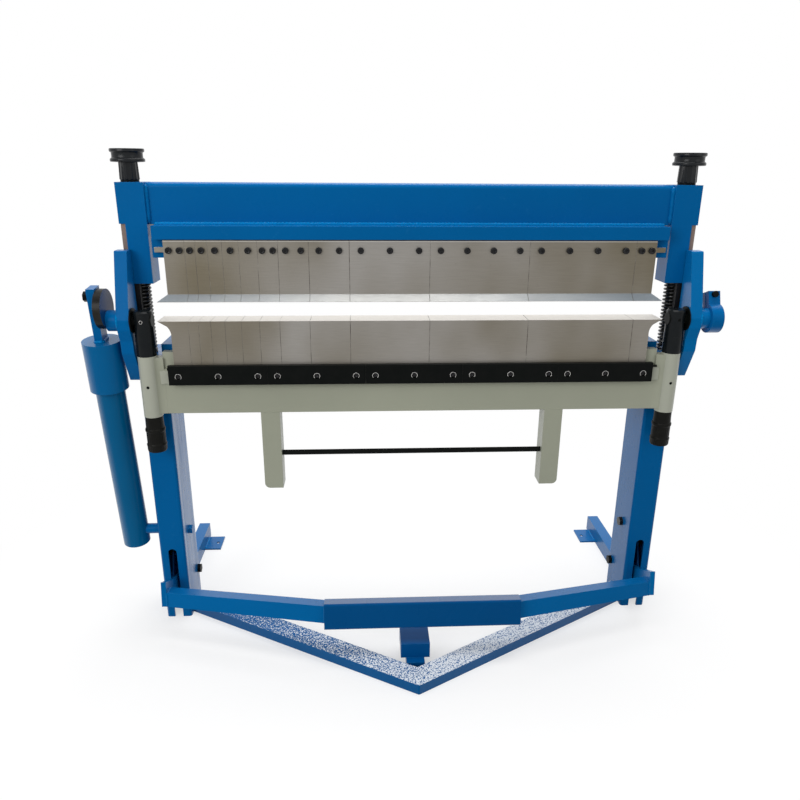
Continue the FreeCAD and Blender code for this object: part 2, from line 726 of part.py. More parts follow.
def height_knob():
    """Hand knob on top of the pull rod: tapered stem and a waisted rim, bored for the rod."""
    lip_top = KNOB_RIM_BOTTOM_Z + KNOB_LIP
    top = KNOB_RIM_BOTTOM_Z + KNOB_RIM_HEIGHT
    profile = [
        (KNOB_STEM_R, KNOB_BOTTOM_Z),
        (KNOB_STEM_TOP_R, KNOB_RIM_BOTTOM_Z),
        (KNOB_RIM_R, KNOB_RIM_BOTTOM_Z),
        (KNOB_RIM_R, lip_top),
        (KNOB_WAIST_R, lip_top + KNOB_LIP_SLOPE),
        (KNOB_WAIST_R, top - KNOB_LIP - KNOB_LIP_SLOPE),
        (KNOB_RIM_R, top - KNOB_LIP),
        (KNOB_RIM_R, top - KNOB_BEVEL),
        (KNOB_RIM_R - KNOB_BEVEL, top),
    ]
    bore = rod_z(KNOB_BOTTOM_Z - 1, ROD_TOP_Z + SEAT_GAP, ROD_X, ROD_Y, ROD_R + RUNNING_FIT)
    return faceted(profile, ROD_X, ROD_Y).cut(bore)


def knob_washer():
    top = BLOCK_TOP_Z + WASHER_THICK
    disc = rod_z(BLOCK_TOP_Z, top, ROD_X, ROD_Y, WASHER_R)
    return disc.cut(rod_z(BLOCK_TOP_Z - 1, top + 1, ROD_X, ROD_Y, ROD_R + RUNNING_FIT))


def fold_blade_outline(side):
    """Waste beyond the horn: a curved undercut from the horn's tip to the blade's straight side."""
    tip_x = BLADE_SHIFT + side * BLADE_LENGTH / 2
    tip = V(tip_x, 0, FOLD_Z)
    bend = V(tip_x - side * HORN_MID_BACK, 0, FOLD_Z - HORN_MID_DROP)
    root = V(tip_x - side * HORN_ROOT_BACK, 0, FOLD_Z - HORN_ROOT_DROP)
    foot = V(root.x, 0, FOLD_BLADE_SEAT_Z - 1)
    far_foot = V(tip_x + side, 0, FOLD_BLADE_SEAT_Z - 1)
    far_tip = V(tip_x + side, 0, FOLD_Z)
    edges = [
        Part.makeLine(tip, bend),
        Part.Arc(bend, (bend + root) * 0.5 + V(-side * HORN_SWEEP_IN, 0, HORN_SWEEP_UP), root).toShape(),
        Part.makeLine(root, foot),
        Part.makeLine(foot, far_foot),
        Part.makeLine(far_foot, far_tip),
        Part.makeLine(far_tip, tip),
    ]
    face = Part.Face(Part.Wire(edges))
    face.translate(V(0, -2 * FOLD_BLADE_THICK, 0))
    return face.extrude(V(0, 6 * FOLD_BLADE_THICK, 0))


def folding_blades():
    blades = []
    for x0, x1 in segment_spans():
        blade = box(x0, x1, -FOLD_BLADE_THICK, -PARTING_GAP, FOLD_BLADE_SEAT_Z, FOLD_Z)
        for side in (-1, 1):
            if x0 <= BLADE_SHIFT + side * (BLADE_LENGTH / 2 - HORN_ROOT_BACK) <= x1:
                blade = blade.cut(fold_blade_outline(side))
        blades.append(blade)
    return Part.makeCompound(blades)


def bed_blades():
    back = BED_BLADE_DEPTH
    outline = [
        (PARTING_GAP, FOLD_Z),
        (back, FOLD_Z),
        (back, BED_TOP_Z),
        (back - BED_BLADE_BODY, BED_TOP_Z),
        (back - BED_BLADE_BODY, FOLD_Z - BED_TOE_DROP),
        (PARTING_GAP, FOLD_Z - BED_TOE_EDGE),
    ]
    blades = []
    for x0, x1 in segment_spans():
        blade = prism_yz(outline, x0, x1)
        for side in (-1, 1):
            if x0 <= BLADE_SHIFT + side * (BLADE_LENGTH / 2 - HORN_ROOT_BACK) <= x1:
                blade = blade.cut(fold_blade_outline(side))
        blades.append(blade)
    return Part.makeCompound(blades)


def bed_backing_bar():
    half = BLADE_LENGTH / 2 - HORN_ROOT_BACK
    return box(BLADE_SHIFT - half, BLADE_SHIFT + half, BED_BLADE_DEPTH, BED_BLADE_DEPTH + BED_BAR_THICK,
               BED_TOP_Z, BED_TOP_Z + BED_BAR_HEIGHT)


def bed_screws():
    """One screw behind each bed blade, its head on the rear of the backing bar."""
    back = BED_BLADE_DEPTH + BED_BAR_THICK
    z = BED_TOP_Z + BED_BAR_HEIGHT / 2
    half = BLADE_LENGTH / 2 - HORN_ROOT_BACK
    screws = []
    for x0, x1 in segment_spans():
        low = max(x0, BLADE_SHIFT - half)
        high = min(x1, BLADE_SHIFT + half)
        screws.append(bar_y(back, back + BED_SCREW_HEAD_H, (low + high) / 2, z, BED_SCREW_R, HEAD_SIDES))
    return Part.makeCompound(screws)


def bed_inside(x0, x1):
    """The hollow of the bed beam between two places along it."""
    return box(x0, x1, BED_FRONT_Y + BED_WALL, BED_FRONT_Y + BED_DEPTH - BED_WALL,
               BED_TOP_Z - BED_HEIGHT + BED_WALL, BED_TOP_Z - BED_WALL)


def bed_beam():
    """Box section between the legs that carries the bed blades."""
    tube = box(-LEG_IN_X, LEG_IN_X, BED_FRONT_Y, BED_FRONT_Y + BED_DEPTH,
               BED_TOP_Z - BED_HEIGHT, BED_TOP_Z)
    return tube.cut(bed_inside(-LEG_IN_X - 1, LEG_IN_X + 1))


def bed_end_cap():
    """Plate that closes the bed beam's end."""
    return bed_inside(LEG_IN_X - BED_WALL, LEG_IN_X)


def leg():
    """Box tube leg with a capped top, an open foot and a slot for the pedal lever."""
    def tube_outline(inset, radius, z0, z1):
        corners = [
            (LEG_IN_X + inset, LEG_FRONT_Y + inset),
            (LEG_OUT_X - inset, LEG_FRONT_Y + inset),
            (LEG_OUT_X - inset, LEG_BACK_Y - inset),
            (LEG_IN_X + inset, LEG_BACK_Y - inset),
        ]
        return prism_xy(corners, z0, z1, [radius] * 4)

    tube = tube_outline(0, LEG_CORNER_R, 0, LEG_TOP_Z)
    hollow = tube_outline(LEG_WALL, LEG_CORNER_R - LEG_WALL, -1, LEG_TOP_Z - LEG_CAP)
    half = SLOT_WIDTH / 2
    behind = LEG_FRONT_Y + LEG_WALL + 1
    slot = box(SLOT_X - half, SLOT_X + half, LEG_FRONT_Y - 1, behind, -1, SLOT_TOP_Z - half)
    slot_end = rod_y(LEG_FRONT_Y - 1, behind, SLOT_X, SLOT_TOP_Z - half, half)
    rod_hole = rod_z(LEG_TOP_Z - LEG_CAP - 1, LEG_TOP_Z + 1, ROD_X, ROD_Y, ROD_R + ROD_HOLE_GAP)
    bolt_hole = bar_x(LEG_IN_X - 1, LEG_OUT_X + 1, LEG_BOLT_Y, LEG_BOLT_Z,
                      LEG_BOLT_R + RUNNING_FIT, SHANK_SIDES)
    pivot_hole = rod_x(LEG_IN_X - 1, LEG_OUT_X + 1, PIVOT_Y, PIVOT_Z, PIVOT_R + RUNNING_FIT)
    return tube.cut(hollow).cut(slot.fuse(slot_end)).cut(rod_hole).cut(bolt_hole).cut(pivot_hole)


def through_bolt(shank, y, z):
    """Bolt across the leg, with its hexagon head on the inner side and its nut outside."""
    head = bar_x(LEG_IN_X - BOLT_HEAD_H, LEG_IN_X, y, z, BOLT_HEAD_R, SHANK_SIDES)
    nut = bar_x(LEG_OUT_X, LEG_OUT_X + BOLT_HEAD_H, y, z, BOLT_HEAD_R, SHANK_SIDES)
    return head.fuse(shank).fuse(nut)


def leg_bolt():
    shank = bar_x(LEG_IN_X, LEG_OUT_X, LEG_BOLT_Y, LEG_BOLT_Z, LEG_BOLT_R, SHANK_SIDES)
    return through_bolt(shank, LEG_BOLT_Y, LEG_BOLT_Z)


def pedal_pivot_bolt():
    return through_bolt(rod_x(LEG_IN_X, LEG_OUT_X, PIVOT_Y, PIVOT_Z, PIVOT_R), PIVOT_Y, PIVOT_Z)


def cheek(boss_end):
    """Plate in front of the leg, swept forward round the pivot, with a tubular bearing boss."""
    foot_z = FOLD_Z - CHEEK_FOOT_DROP
    corners = [
        (LEG_FRONT_Y, FOLD_Z + CHEEK_RISE, 0),
        (FINGER_FACE_Y, FOLD_Z + CHEEK_RISE, CHEEK_TOP_CORNER_R),
        (CHEEK_NECK_Y, FOLD_Z + CHEEK_NECK_RISE, 0),
        (CHEEK_NOSE_Y, FOLD_Z + CHEEK_NOSE_RISE, CHEEK_NOSE_TOP_R),
        (CHEEK_NOSE_Y, FOLD_Z - CHEEK_NOSE_DROP, CHEEK_NOSE_BOTTOM_R),
        (CHEEK_WAIST_Y, FOLD_Z - CHEEK_WAIST_DROP, CHEEK_BEND_R),
        (CHEEK_HIP_Y, FOLD_Z - CHEEK_HIP_DROP, CHEEK_BEND_R),
        (CHEEK_TAIL_Y, FOLD_Z - CHEEK_TAIL_DROP, 0),
        (CHEEK_FOOT_Y, foot_z, CHEEK_TOP_CORNER_R),
        (LEG_FRONT_Y, foot_z, 0),
    ]
    outline = [(y, z) for y, z, radius in corners]
    plate = prism_yz(outline, CHEEK_IN_X, CHEEK_OUT_X, [radius for y, z, radius in corners])
    boss = rod_x(CHEEK_OUT_X - 1, boss_end, 0, FOLD_Z, BOSS_R)
    bore = rod_x(CHEEK_IN_X - 1, boss_end + 1, 0, FOLD_Z, SHAFT_R + RUNNING_FIT)
    return plate.fuse(boss).cut(bore)


def hinge_post():
    """Black post: a head bored across for the pivot shaft, a spigot for the sleeve and a stud."""
    profile = [
        (0, STUD_BOTTOM_Z),
        (STUD_R, STUD_BOTTOM_Z),
        (STUD_R, SLEEVE_BOTTOM_Z),
        (SPIGOT_R, SLEEVE_BOTTOM_Z),
        (SPIGOT_R, POST_BOTTOM_Z),
        (POST_R, POST_BOTTOM_Z),
        (POST_R, POST_TOP_Z - POST_CHAMFER),
        (POST_R - POST_CHAMFER, POST_TOP_Z),
        (0, POST_TOP_Z),
    ]
    post = turned(profile, POST_X, 0)
    bore = rod_x(POST_X - POST_R - 1, POST_X + POST_R + 1, 0, FOLD_Z, SHAFT_R + RUNNING_FIT)
    screw = bar_y(-POST_R - 1, -POST_R + SET_SCREW_DEPTH, POST_X, FOLD_Z, SET_SCREW_R, HEAD_SIDES)
    return post.cut(bore).cut(screw)


def sleeve():
    """Sleeve on the apron's end that slides on the post's spigot."""
    tube = rod_z(SLEEVE_BOTTOM_Z, POST_BOTTOM_Z - SEAT_GAP, POST_X, 0, POST_R)
    bore = rod_z(SLEEVE_BOTTOM_Z - 1, POST_BOTTOM_Z + 1, POST_X, 0, SPIGOT_R + RUNNING_FIT)
    screw = bar_y(-POST_R - 1, -POST_R + SET_SCREW_DEPTH, POST_X, FOLD_Z - SLEEVE_SCREW_DROP,
                  SET_SCREW_R, HEAD_SIDES)
    return tube.cut(bore).cut(screw)


def lower_knob():
    """Hand knob under the sleeve, threaded on the post's stud."""
    top = SLEEVE_BOTTOM_Z - SEAT_GAP
    bottom = top - LOWER_KNOB_HEIGHT
    collar_z = top - LOWER_KNOB_COLLAR_HEIGHT
    lip_z = collar_z - LOWER_KNOB_LIP_SLOPE - LOWER_KNOB_LIP_HEIGHT
    profile = [
        (LOWER_KNOB_R - LOWER_KNOB_ROUND, bottom),
        (LOWER_KNOB_R, bottom + LOWER_KNOB_ROUND),
        (LOWER_KNOB_R, lip_z - LOWER_KNOB_LIP_SLOPE),
        (LOWER_KNOB_LIP_R, lip_z),
        (LOWER_KNOB_LIP_R, lip_z + LOWER_KNOB_LIP_HEIGHT),
        (LOWER_KNOB_COLLAR_R, collar_z),
        (LOWER_KNOB_COLLAR_R, top),
    ]
    bore = rod_z(STUD_BOTTOM_Z - APRON_SLIDE - SEAT_GAP, top + 1, POST_X, 0, STUD_R + RUNNING_FIT)
    return faceted(profile, POST_X, 0).cut(bore)


def pivot_shaft(end_x):
    return rod_x(SHAFT_IN_X, end_x, 0, FOLD_Z, SHAFT_R)


def pivot_flange():
    disc = rod_x(POST_X + POST_R, CHEEK_IN_X - SEAT_GAP, 0, FOLD_Z, FLANGE_R)
    return disc.cut(rod_x(POST_X, CHEEK_IN_X, 0, FOLD_Z, SHAFT_R + RUNNING_FIT))


def crank_disc():
    """Disc set off its centre on the left pivot shaft."""
    disc = rod_x(CRANK_X, CRANK_X + CRANK_THICK, 0, FOLD_Z + CRANK_CENTRE_UP, CRANK_R)
    bore = rod_x(CRANK_X - 1, CRANK_X + CRANK_THICK - CRANK_BORE_FLOOR, 0, FOLD_Z,
                 SHAFT_R + RUNNING_FIT)
    return mirrored(disc.cut(bore), -1)


def leant_back(shape):
    """Turn a piece drawn upright on the right shaft to the collar's lean."""
    leant = shape.copy()
    leant.rotate(V(0, 0, FOLD_Z), V(1, 0, 0), -COLLAR_LEAN)
    return leant


def shaft_collar():
    """Split clamping collar with two ears, closed by a bolt."""
    ring = rod_x(COLLAR_IN_X, COLLAR_OUT_X, 0, FOLD_Z, COLLAR_R)
    half = COLLAR_EAR_THICK + COLLAR_SPLIT / 2
    ears = box(COLLAR_IN_X, COLLAR_OUT_X, -half, half, FOLD_Z, FOLD_Z + COLLAR_EAR_TOP)
    split = box(COLLAR_IN_X - 1, COLLAR_OUT_X + 1, -COLLAR_SPLIT / 2, COLLAR_SPLIT / 2,
                FOLD_Z, FOLD_Z + COLLAR_EAR_TOP + 1)
    bore = rod_x(COLLAR_IN_X - 1, COLLAR_OUT_X + 1, 0, FOLD_Z, SHAFT_R + RUNNING_FIT)
    middle = (COLLAR_IN_X + COLLAR_OUT_X) / 2
    hole = bar_y(-half - 1, half + 1, middle, FOLD_Z + COLLAR_BOLT_UP,
                 COLLAR_BOLT_R + RUNNING_FIT, SHANK_SIDES)
    return leant_back(ring.fuse(ears).cut(split).cut(bore).cut(hole))


def collar_bolt():
    half = COLLAR_EAR_THICK + COLLAR_SPLIT / 2
    middle = (COLLAR_IN_X + COLLAR_OUT_X) / 2
    z = FOLD_Z + COLLAR_BOLT_UP
    head = bar_y(-half - COLLAR_BOLT_HEAD_H, -half, middle, z, COLLAR_BOLT_HEAD_R, HEAD_SIDES)
    shank = bar_y(-half, half, middle, z, COLLAR_BOLT_R, SHANK_SIDES)
    nut = bar_y(half, half + COLLAR_BOLT_HEAD_H, middle, z, COLLAR_BOLT_HEAD_R, SHANK_SIDES)
    return leant_back(head.fuse(shank).fuse(nut))


def on_strut(shape):
    """Lean a piece drawn upright under the crank pin back along the strut, on the left side."""
    leant = shape.copy()
    leant.rotate(V(0, 0, PIN_Z), V(1, 0, 0), STRUT_LEAN)
    return leant


def hanger_bar():
    """Flat bar from the crank pin down to the strut's head."""
    half = HANGER_THICK / 2
    bar = box(-STRUT_X - half, -STRUT_X + half, -HANGER_DEPTH / 2, HANGER_DEPTH / 2,
              PIN_Z - HANGER_LENGTH, PIN_Z + HANGER_TOP_OVER)
    hole = rod_x(-STRUT_X - half - 1, -STRUT_X + half + 1, 0, PIN_Z, CRANK_BOLT_R + RUNNING_FIT)
    return on_strut(bar.cut(hole))


def crank_bolt():
    outer = -STRUT_X - HANGER_THICK / 2
    head = bar_x(outer - CRANK_BOLT_HEAD_H, outer, 0, PIN_Z, CRANK_BOLT_HEAD_R, SHANK_SIDES)
    shank = rod_x(outer, -STRUT_X + HANGER_THICK / 2, 0, PIN_Z, CRANK_BOLT_R)
    return head.fuse(shank)


def strut_head():
    """Capped sleeve that slides over the strut's tube."""
    top = PIN_Z - HANGER_LENGTH
    bottom = top - STRUT_HEAD_LENGTH
    sleeve_body = rod_z(bottom, top, -STRUT_X, 0, STRUT_HEAD_R)
    hollow = rod_z(bottom - 1, top - STRUT_CAP, -STRUT_X, 0, STRUT_TUBE_R + STRUT_SLIDE_GAP)
    return on_strut(sleeve_body.cut(hollow))


def strut_tube():
    """Lower tube of the strut, bored across near its closed foot for the peg."""
    bottom = PIN_Z - STRUT_REACH - STRUT_TUBE_TAIL
    top = PIN_Z - HANGER_LENGTH - STRUT_HEAD_LENGTH + STRUT_TUBE_OVERLAP
    body = rod_z(bottom, top, -STRUT_X, 0, STRUT_TUBE_R)
    peg_z = PIN_Z - STRUT_REACH
    hollow = rod_z(peg_z + STRUT_FOOT_OVER, top + 1, -STRUT_X, 0, STRUT_TUBE_R - STRUT_TUBE_WALL)
    hole = rod_x(-STRUT_X, -STRUT_X + STRUT_TUBE_R + 1, 0, peg_z, PEG_R + RUNNING_FIT)
    return on_strut(body.cut(hollow).cut(hole))


def strut_peg():
    """Peg on the outer side of the left leg that the strut's foot turns on."""
    return rod_x(-STRUT_X + SEAT_GAP, -LEG_OUT_X, PEG_Y, PEG_Z, PEG_R)


def apron_beam():
    """Stepped bar behind the folding blades, lower beside its sleeves."""
    front = APRON_FRONT_Y
    middle = [
        (front, APRON_BOTTOM_Z),
        (APRON_BACK_Y, APRON_BOTTOM_Z),
        (APRON_BACK_Y, APRON_TOP_Z),
        (0, APRON_TOP_Z),
        (0, FOLD_BLADE_SEAT_Z),
        (front, FOLD_BLADE_SEAT_Z),
    ]
    outer = [(y, min(z, APRON_END_TOP_Z)) for y, z in middle]
    end = POST_X - POST_R + APRON_SEAT_LAP
    beam = prism_yz(middle, -APRON_STEP_HALF, APRON_STEP_HALF)
    for side in (-1, 1):
        x0, x1 = sorted((side * APRON_STEP_HALF, side * end))
        beam = beam.fuse(prism_yz(outer, x0, x1))
        seat = rod_z(APRON_BOTTOM_Z - 1, APRON_TOP_Z + 1, side * POST_X, 0, POST_R)
        beam = beam.cut(seat)
    return beam.removeSplitter()


def bar_screw_places():
    """X of every clamp screw, three to a bar."""
    length = 2 * BAR_HALF_LENGTH / BAR_COUNT
    places = []
    for i in range(BAR_COUNT):
        middle = -BAR_HALF_LENGTH + (i + 0.5) * length
        for k in range(SCREWS_PER_BAR):
            places.append(middle + (k - (SCREWS_PER_BAR - 1) / 2) * SCREW_PITCH)
    return places


def clamp_bars():
    """Bars with a lip over the feet of the folding blades, counterbored for their screws."""
    front = APRON_FRONT_Y - BAR_THICK
    outline = [
        (front, BAR_BOTTOM_Z),
        (APRON_FRONT_Y, BAR_BOTTOM_Z),
        (APRON_FRONT_Y, FOLD_BLADE_SEAT_Z),
        (-FOLD_BLADE_THICK, FOLD_BLADE_SEAT_Z),
        (-FOLD_BLADE_THICK, BAR_TOP_Z),
        (front, BAR_TOP_Z),
    ]
    length = 2 * BAR_HALF_LENGTH / BAR_COUNT
    bars = []
    for i in range(BAR_COUNT):
        x0 = -BAR_HALF_LENGTH + i * length + SEAM_GAP / 2
        x1 = x0 + length - SEAM_GAP
        bar = prism_yz(outline, x0, x1)
        for x in bar_screw_places():
            if x0 < x < x1:
                sink = bar_y(front - 1, front + SCREW_SINK, x, SCREW_Z, SCREW_SINK_R, HEAD_SIDES)
                hole = bar_y(front - 1, APRON_FRONT_Y + 1, x, SCREW_Z, SCREW_R + RUNNING_FIT, SHANK_SIDES)
                bar = bar.cut(sink).cut(hole)
        bars.append(bar)
    return Part.makeCompound(bars)


def clamp_screws():
    front = APRON_FRONT_Y - BAR_THICK
    screws = []
    for x in bar_screw_places():
        head = bar_y(front + SCREW_HEAD_INSET, front + SCREW_SINK, x, SCREW_Z, SCREW_HEAD_R, HEAD_SIDES)
        shank = bar_y(front + SCREW_SINK, APRON_FRONT_Y, x, SCREW_Z, SCREW_R, SHANK_SIDES)
        screws.append(head.fuse(shank))
    return Part.makeCompound(screws)


def handle_arm():
    """Angle section that hangs below the apron, its outer bottom corner rounded."""
    x0 = HANDLE_OUT_X - HANDLE_WIDTH
    front = prism_xz([
        (x0, HANDLE_BOTTOM_Z),
        (HANDLE_OUT_X, HANDLE_BOTTOM_Z),
        (HANDLE_OUT_X, APRON_BOTTOM_Z),
        (x0, APRON_BOTTOM_Z),
    ], APRON_FRONT_Y, APRON_FRONT_Y + HANDLE_WALL, [0, HANDLE_CORNER_R, 0, 0])
    inner = box(x0, x0 + HANDLE_WALL, APRON_FRONT_Y, APRON_FRONT_Y + HANDLE_DEPTH,
                HANDLE_BOTTOM_Z, APRON_BOTTOM_Z)
    hole = rod_x(x0 - 1, x0 + HANDLE_WALL + 1, HANDLE_ROD_Y, HANDLE_ROD_Z, HANDLE_ROD_R + RUNNING_FIT)
    return front.fuse(inner).removeSplitter().cut(hole)


def handle_rod():
    reach = HANDLE_OUT_X - HANDLE_WIDTH + HANDLE_WALL
    return rod_x(-reach, reach, HANDLE_ROD_Y, HANDLE_ROD_Z, HANDLE_ROD_R)


def lifted(shape):
    """Lift a pedal piece from level to its rest tilt about the pedal's pivot."""
    tilted = shape.copy()
    tilted.rotate(V(0, PIVOT_Y, PIVOT_Z), V(1, 0, 0), -PEDAL_TILT)
    return tilted


def pedal_lever():
    """Side lever: a plate that deepens towards the front, with a long hub on the pivot bolt."""
    outline = [
        (LEVER_FRONT_Y, PIVOT_Z - LEVER_UNDER),
        (PIVOT_Y, PIVOT_Z - LEVER_UNDER),
        (PIVOT_Y, PIVOT_Z + LEVER_HUB_R),
        (LEG_FRONT_Y - LEVER_BEND, PIVOT_Z + LEVER_OVER),
        (LEVER_FRONT_Y, PIVOT_Z + LEVER_FRONT_OVER),
    ]
    half = LEVER_THICK / 2
    plate = prism_yz(outline, LEVER_X - half, LEVER_X + half)
    hub_start = LEG_IN_X + LEG_WALL + LEVER_HUB_GAP
    hub_end = LEG_OUT_X - LEG_WALL - LEVER_HUB_GAP
    hub = rod_x(hub_start, hub_end, PIVOT_Y, PIVOT_Z, LEVER_HUB_R)
    bore = rod_x(LEG_IN_X, LEG_OUT_X, PIVOT_Y, PIVOT_Z, PIVOT_R + 2 * RUNNING_FIT)
    return lifted(plate.fuse(hub).cut(bore))


def pedal_arm(side):
    """Tapered box arm from the lever forward to the treadle."""
    start_x = side * (LEVER_X - LEVER_THICK / 2)
    end_x = TREADLE_RIGHT_X if side > 0 else TREADLE_LEFT_X

    def frame(x, y, height):
        half = height / 2
        corners = [
            V(x, y - ARM_DEPTH / 2, PIVOT_Z - half),
            V(x, y + ARM_DEPTH / 2, PIVOT_Z - half),
            V(x, y + ARM_DEPTH / 2, PIVOT_Z + half),
            V(x, y - ARM_DEPTH / 2, PIVOT_Z + half),
        ]
        return Part.makePolygon(corners + [corners[0]])

    arm = Part.makeLoft([frame(start_x, ARM_START_Y, ARM_SIZE), frame(end_x, ARM_END_Y, ARM_END_SIZE)],
                        True, True)
    return lifted(arm)


def treadle():
    """Foot bar between the arms, with rounded long edges."""
    outline = [
        (TREADLE_FRONT_Y, PIVOT_Z - TREADLE_HEIGHT / 2),
        (TREADLE_FRONT_Y + TREADLE_DEPTH, PIVOT_Z - TREADLE_HEIGHT / 2),
        (TREADLE_FRONT_Y + TREADLE_DEPTH, PIVOT_Z + TREADLE_HEIGHT / 2),
        (TREADLE_FRONT_Y, PIVOT_Z + TREADLE_HEIGHT / 2),
    ]
    bar = prism_yz(outline, TREADLE_LEFT_X, TREADLE_RIGHT_X, [TREADLE_ROUND] * 4)
    return lifted(bar)


def base_frame():
    """Flat V of two bars on the floor, from the legs forward to a blunt point."""
    slope = (BASE_LEG_Y - BASE_TIP_Y) / LEG_IN_X
    rise = BASE_BAR_WIDTH * math.sqrt(1 + slope * slope)
    outline = [
        (-LEG_IN_X, BASE_LEG_Y),
        (BASE_TIP_X, BASE_TIP_Y),
        (LEG_IN_X, BASE_LEG_Y),
        (LEG_IN_X, BASE_LEG_Y + rise),
        (BASE_TIP_X, BASE_TIP_Y + rise),
        (-LEG_IN_X, BASE_LEG_Y + rise),
    ]
    return prism_xy(outline, 0, BASE_HEIGHT, [0, BASE_TIP_R, 0, 0, 0, 0])


def pedal_stop():
    """Block behind the point of the base that the treadle comes down on."""
    slope = (BASE_LEG_Y - BASE_TIP_Y) / LEG_IN_X
    rise = BASE_BAR_WIDTH * math.sqrt(1 + slope * slope)
    post_front = BASE_TIP_Y + rise + slope * (STOP_POST_HALF + BASE_TIP_X) + SEAT_GAP
    under = BASE_HEIGHT + STOP_OVER_BASE
    head = box(-STOP_HALF_WIDTH, STOP_HALF_WIDTH, STOP_FRONT_Y, STOP_FRONT_Y + STOP_DEPTH,
               under, under + STOP_HEIGHT)
    post = box(-STOP_POST_HALF, STOP_POST_HALF, post_front, STOP_FRONT_Y + STOP_DEPTH, 0, under)
    return head.fuse(post)


def rear_foot():
    """Bar on the floor behind the leg, with a holed tab for a floor bolt."""
    bar = box(FOOT_IN_X, FOOT_OUT_X, LEG_BACK_Y, FOOT_END_Y, 0, FOOT_HEIGHT)
    tab_back = FOOT_END_Y - TAB_END_GAP
    tab = box(TAB_IN_X, FOOT_IN_X, tab_back - TAB_WIDTH, tab_back, 0, TAB_THICK)
    hole = rod_z(-1, TAB_THICK + 1, TAB_IN_X + TAB_HOLE_INSET, tab_back - TAB_WIDTH / 2, TAB_HOLE_R)
    return bar.fuse(tab).cut(hole)


def pieces():
    """Every node's name and shape."""
    nodes = {}
    for name, side in (("left", -1), ("right", 1)):
        nodes[name + "_leg"] = mirrored(leg(), side)
        nodes[name + "_cheek_plate"] = mirrored(
            cheek(LEFT_BOSS_END_X if side < 0 else RIGHT_BOSS_END_X), side)
        nodes[name + "_guide_bar"] = mirrored(guide_bar(), side)
        nodes[name + "_rear_foot"] = mirrored(rear_foot(), side)
        nodes[name + "_end_block"] = mirrored(end_block(), side)
        nodes[name + "_pull_rod"] = mirrored(pull_rod(), side)
        nodes[name + "_height_knob"] = mirrored(height_knob(), side)
        nodes[name + "_hinge_post"] = mirrored(hinge_post(), side)
        nodes[name + "_apron_sleeve"] = mirrored(sleeve(), side)
        nodes[name + "_lower_knob"] = mirrored(lower_knob(), side)
        nodes[name + "_pivot_shaft"] = mirrored(
            pivot_shaft(CRANK_X + CRANK_THICK - CRANK_BORE_FLOOR if side < 0 else COLLAR_OUT_X), side)
        nodes[name + "_handle_arm"] = mirrored(handle_arm(), side)
        nodes[name + "_pedal_lever"] = mirrored(pedal_lever(), side)
        nodes[name + "_pedal_arm"] = pedal_arm(side)
    nodes["return_springs"] = both(return_spring)
    nodes["knob_washers"] = both(knob_washer)
    nodes["pivot_flanges"] = both(pivot_flange)
    nodes["pedal_pivot_bolts"] = both(pedal_pivot_bolt)
    nodes["leg_bolts"] = both(leg_bolt)
    nodes["bed_beam"] = bed_beam()
    nodes["bed_end_caps"] = both(bed_end_cap)
    nodes["bed_backing_bar"] = bed_backing_bar()
    nodes["bed_screws"] = bed_screws()
    nodes["bed_blades"] = bed_blades()
    nodes["base_frame"] = base_frame()
    nodes["pedal_stop"] = pedal_stop()
    nodes["clamping_beam"] = clamping_beam()
    nodes["finger_plate"] = finger_plate()
    nodes["backing_bar"] = backing_bar()
    nodes["backing_strip"] = backing_strip()
    nodes["upper_fingers"] = upper_fingers()
    nodes["finger_bolts"] = finger_bolts()
    nodes["crank_disc"] = crank_disc()
    nodes["shaft_collar"] = shaft_collar()
    nodes["collar_bolt"] = collar_bolt()
    nodes["apron_beam"] = apron_beam()
    nodes["folding_blades"] = folding_blades()
    nodes["clamp_bars"] = clamp_bars()
    nodes["clamp_screws"] = clamp_screws()
    nodes["handle_rod"] = handle_rod()
    nodes["hanger_bar"] = hanger_bar()
    nodes["crank_bolt"] = crank_bolt()
    nodes["strut_head"] = strut_head()
    nodes["strut_tube"] = strut_tube()
    nodes["strut_peg"] = strut_peg()
    nodes["treadle"] = treadle()
    return nodes


def main():
    nodes = pieces()
    whole = FreeCAD.BoundBox()
    for shape in nodes.values():
        whole.add(shape.BoundBox)
    shift = V(-(whole.XMin + whole.XMax) / 2, -(whole.YMin + whole.YMax) / 2, 0)
    print("shift", round(shift.x, 4), round(shift.y, 4), "size", round(whole.XLength, 2),
          round(whole.YLength, 2), round(whole.ZLength, 2))
    for name, shape in nodes.items():
        moved = shape.copy()
        moved.translate(shift)
        moved.exportStep("parts/" + name + ".step")


main()
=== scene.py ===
"""Looks of the foot operated box and pan folding machine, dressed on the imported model.

Own pieces are drawn in millimetres from the middle of the legs and the folding line,
X along the blades, Y to the back and Z up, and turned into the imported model's metres.
"""

import json
import math
import random

import bmesh
import bpy
from mathutils import Matrix, Vector


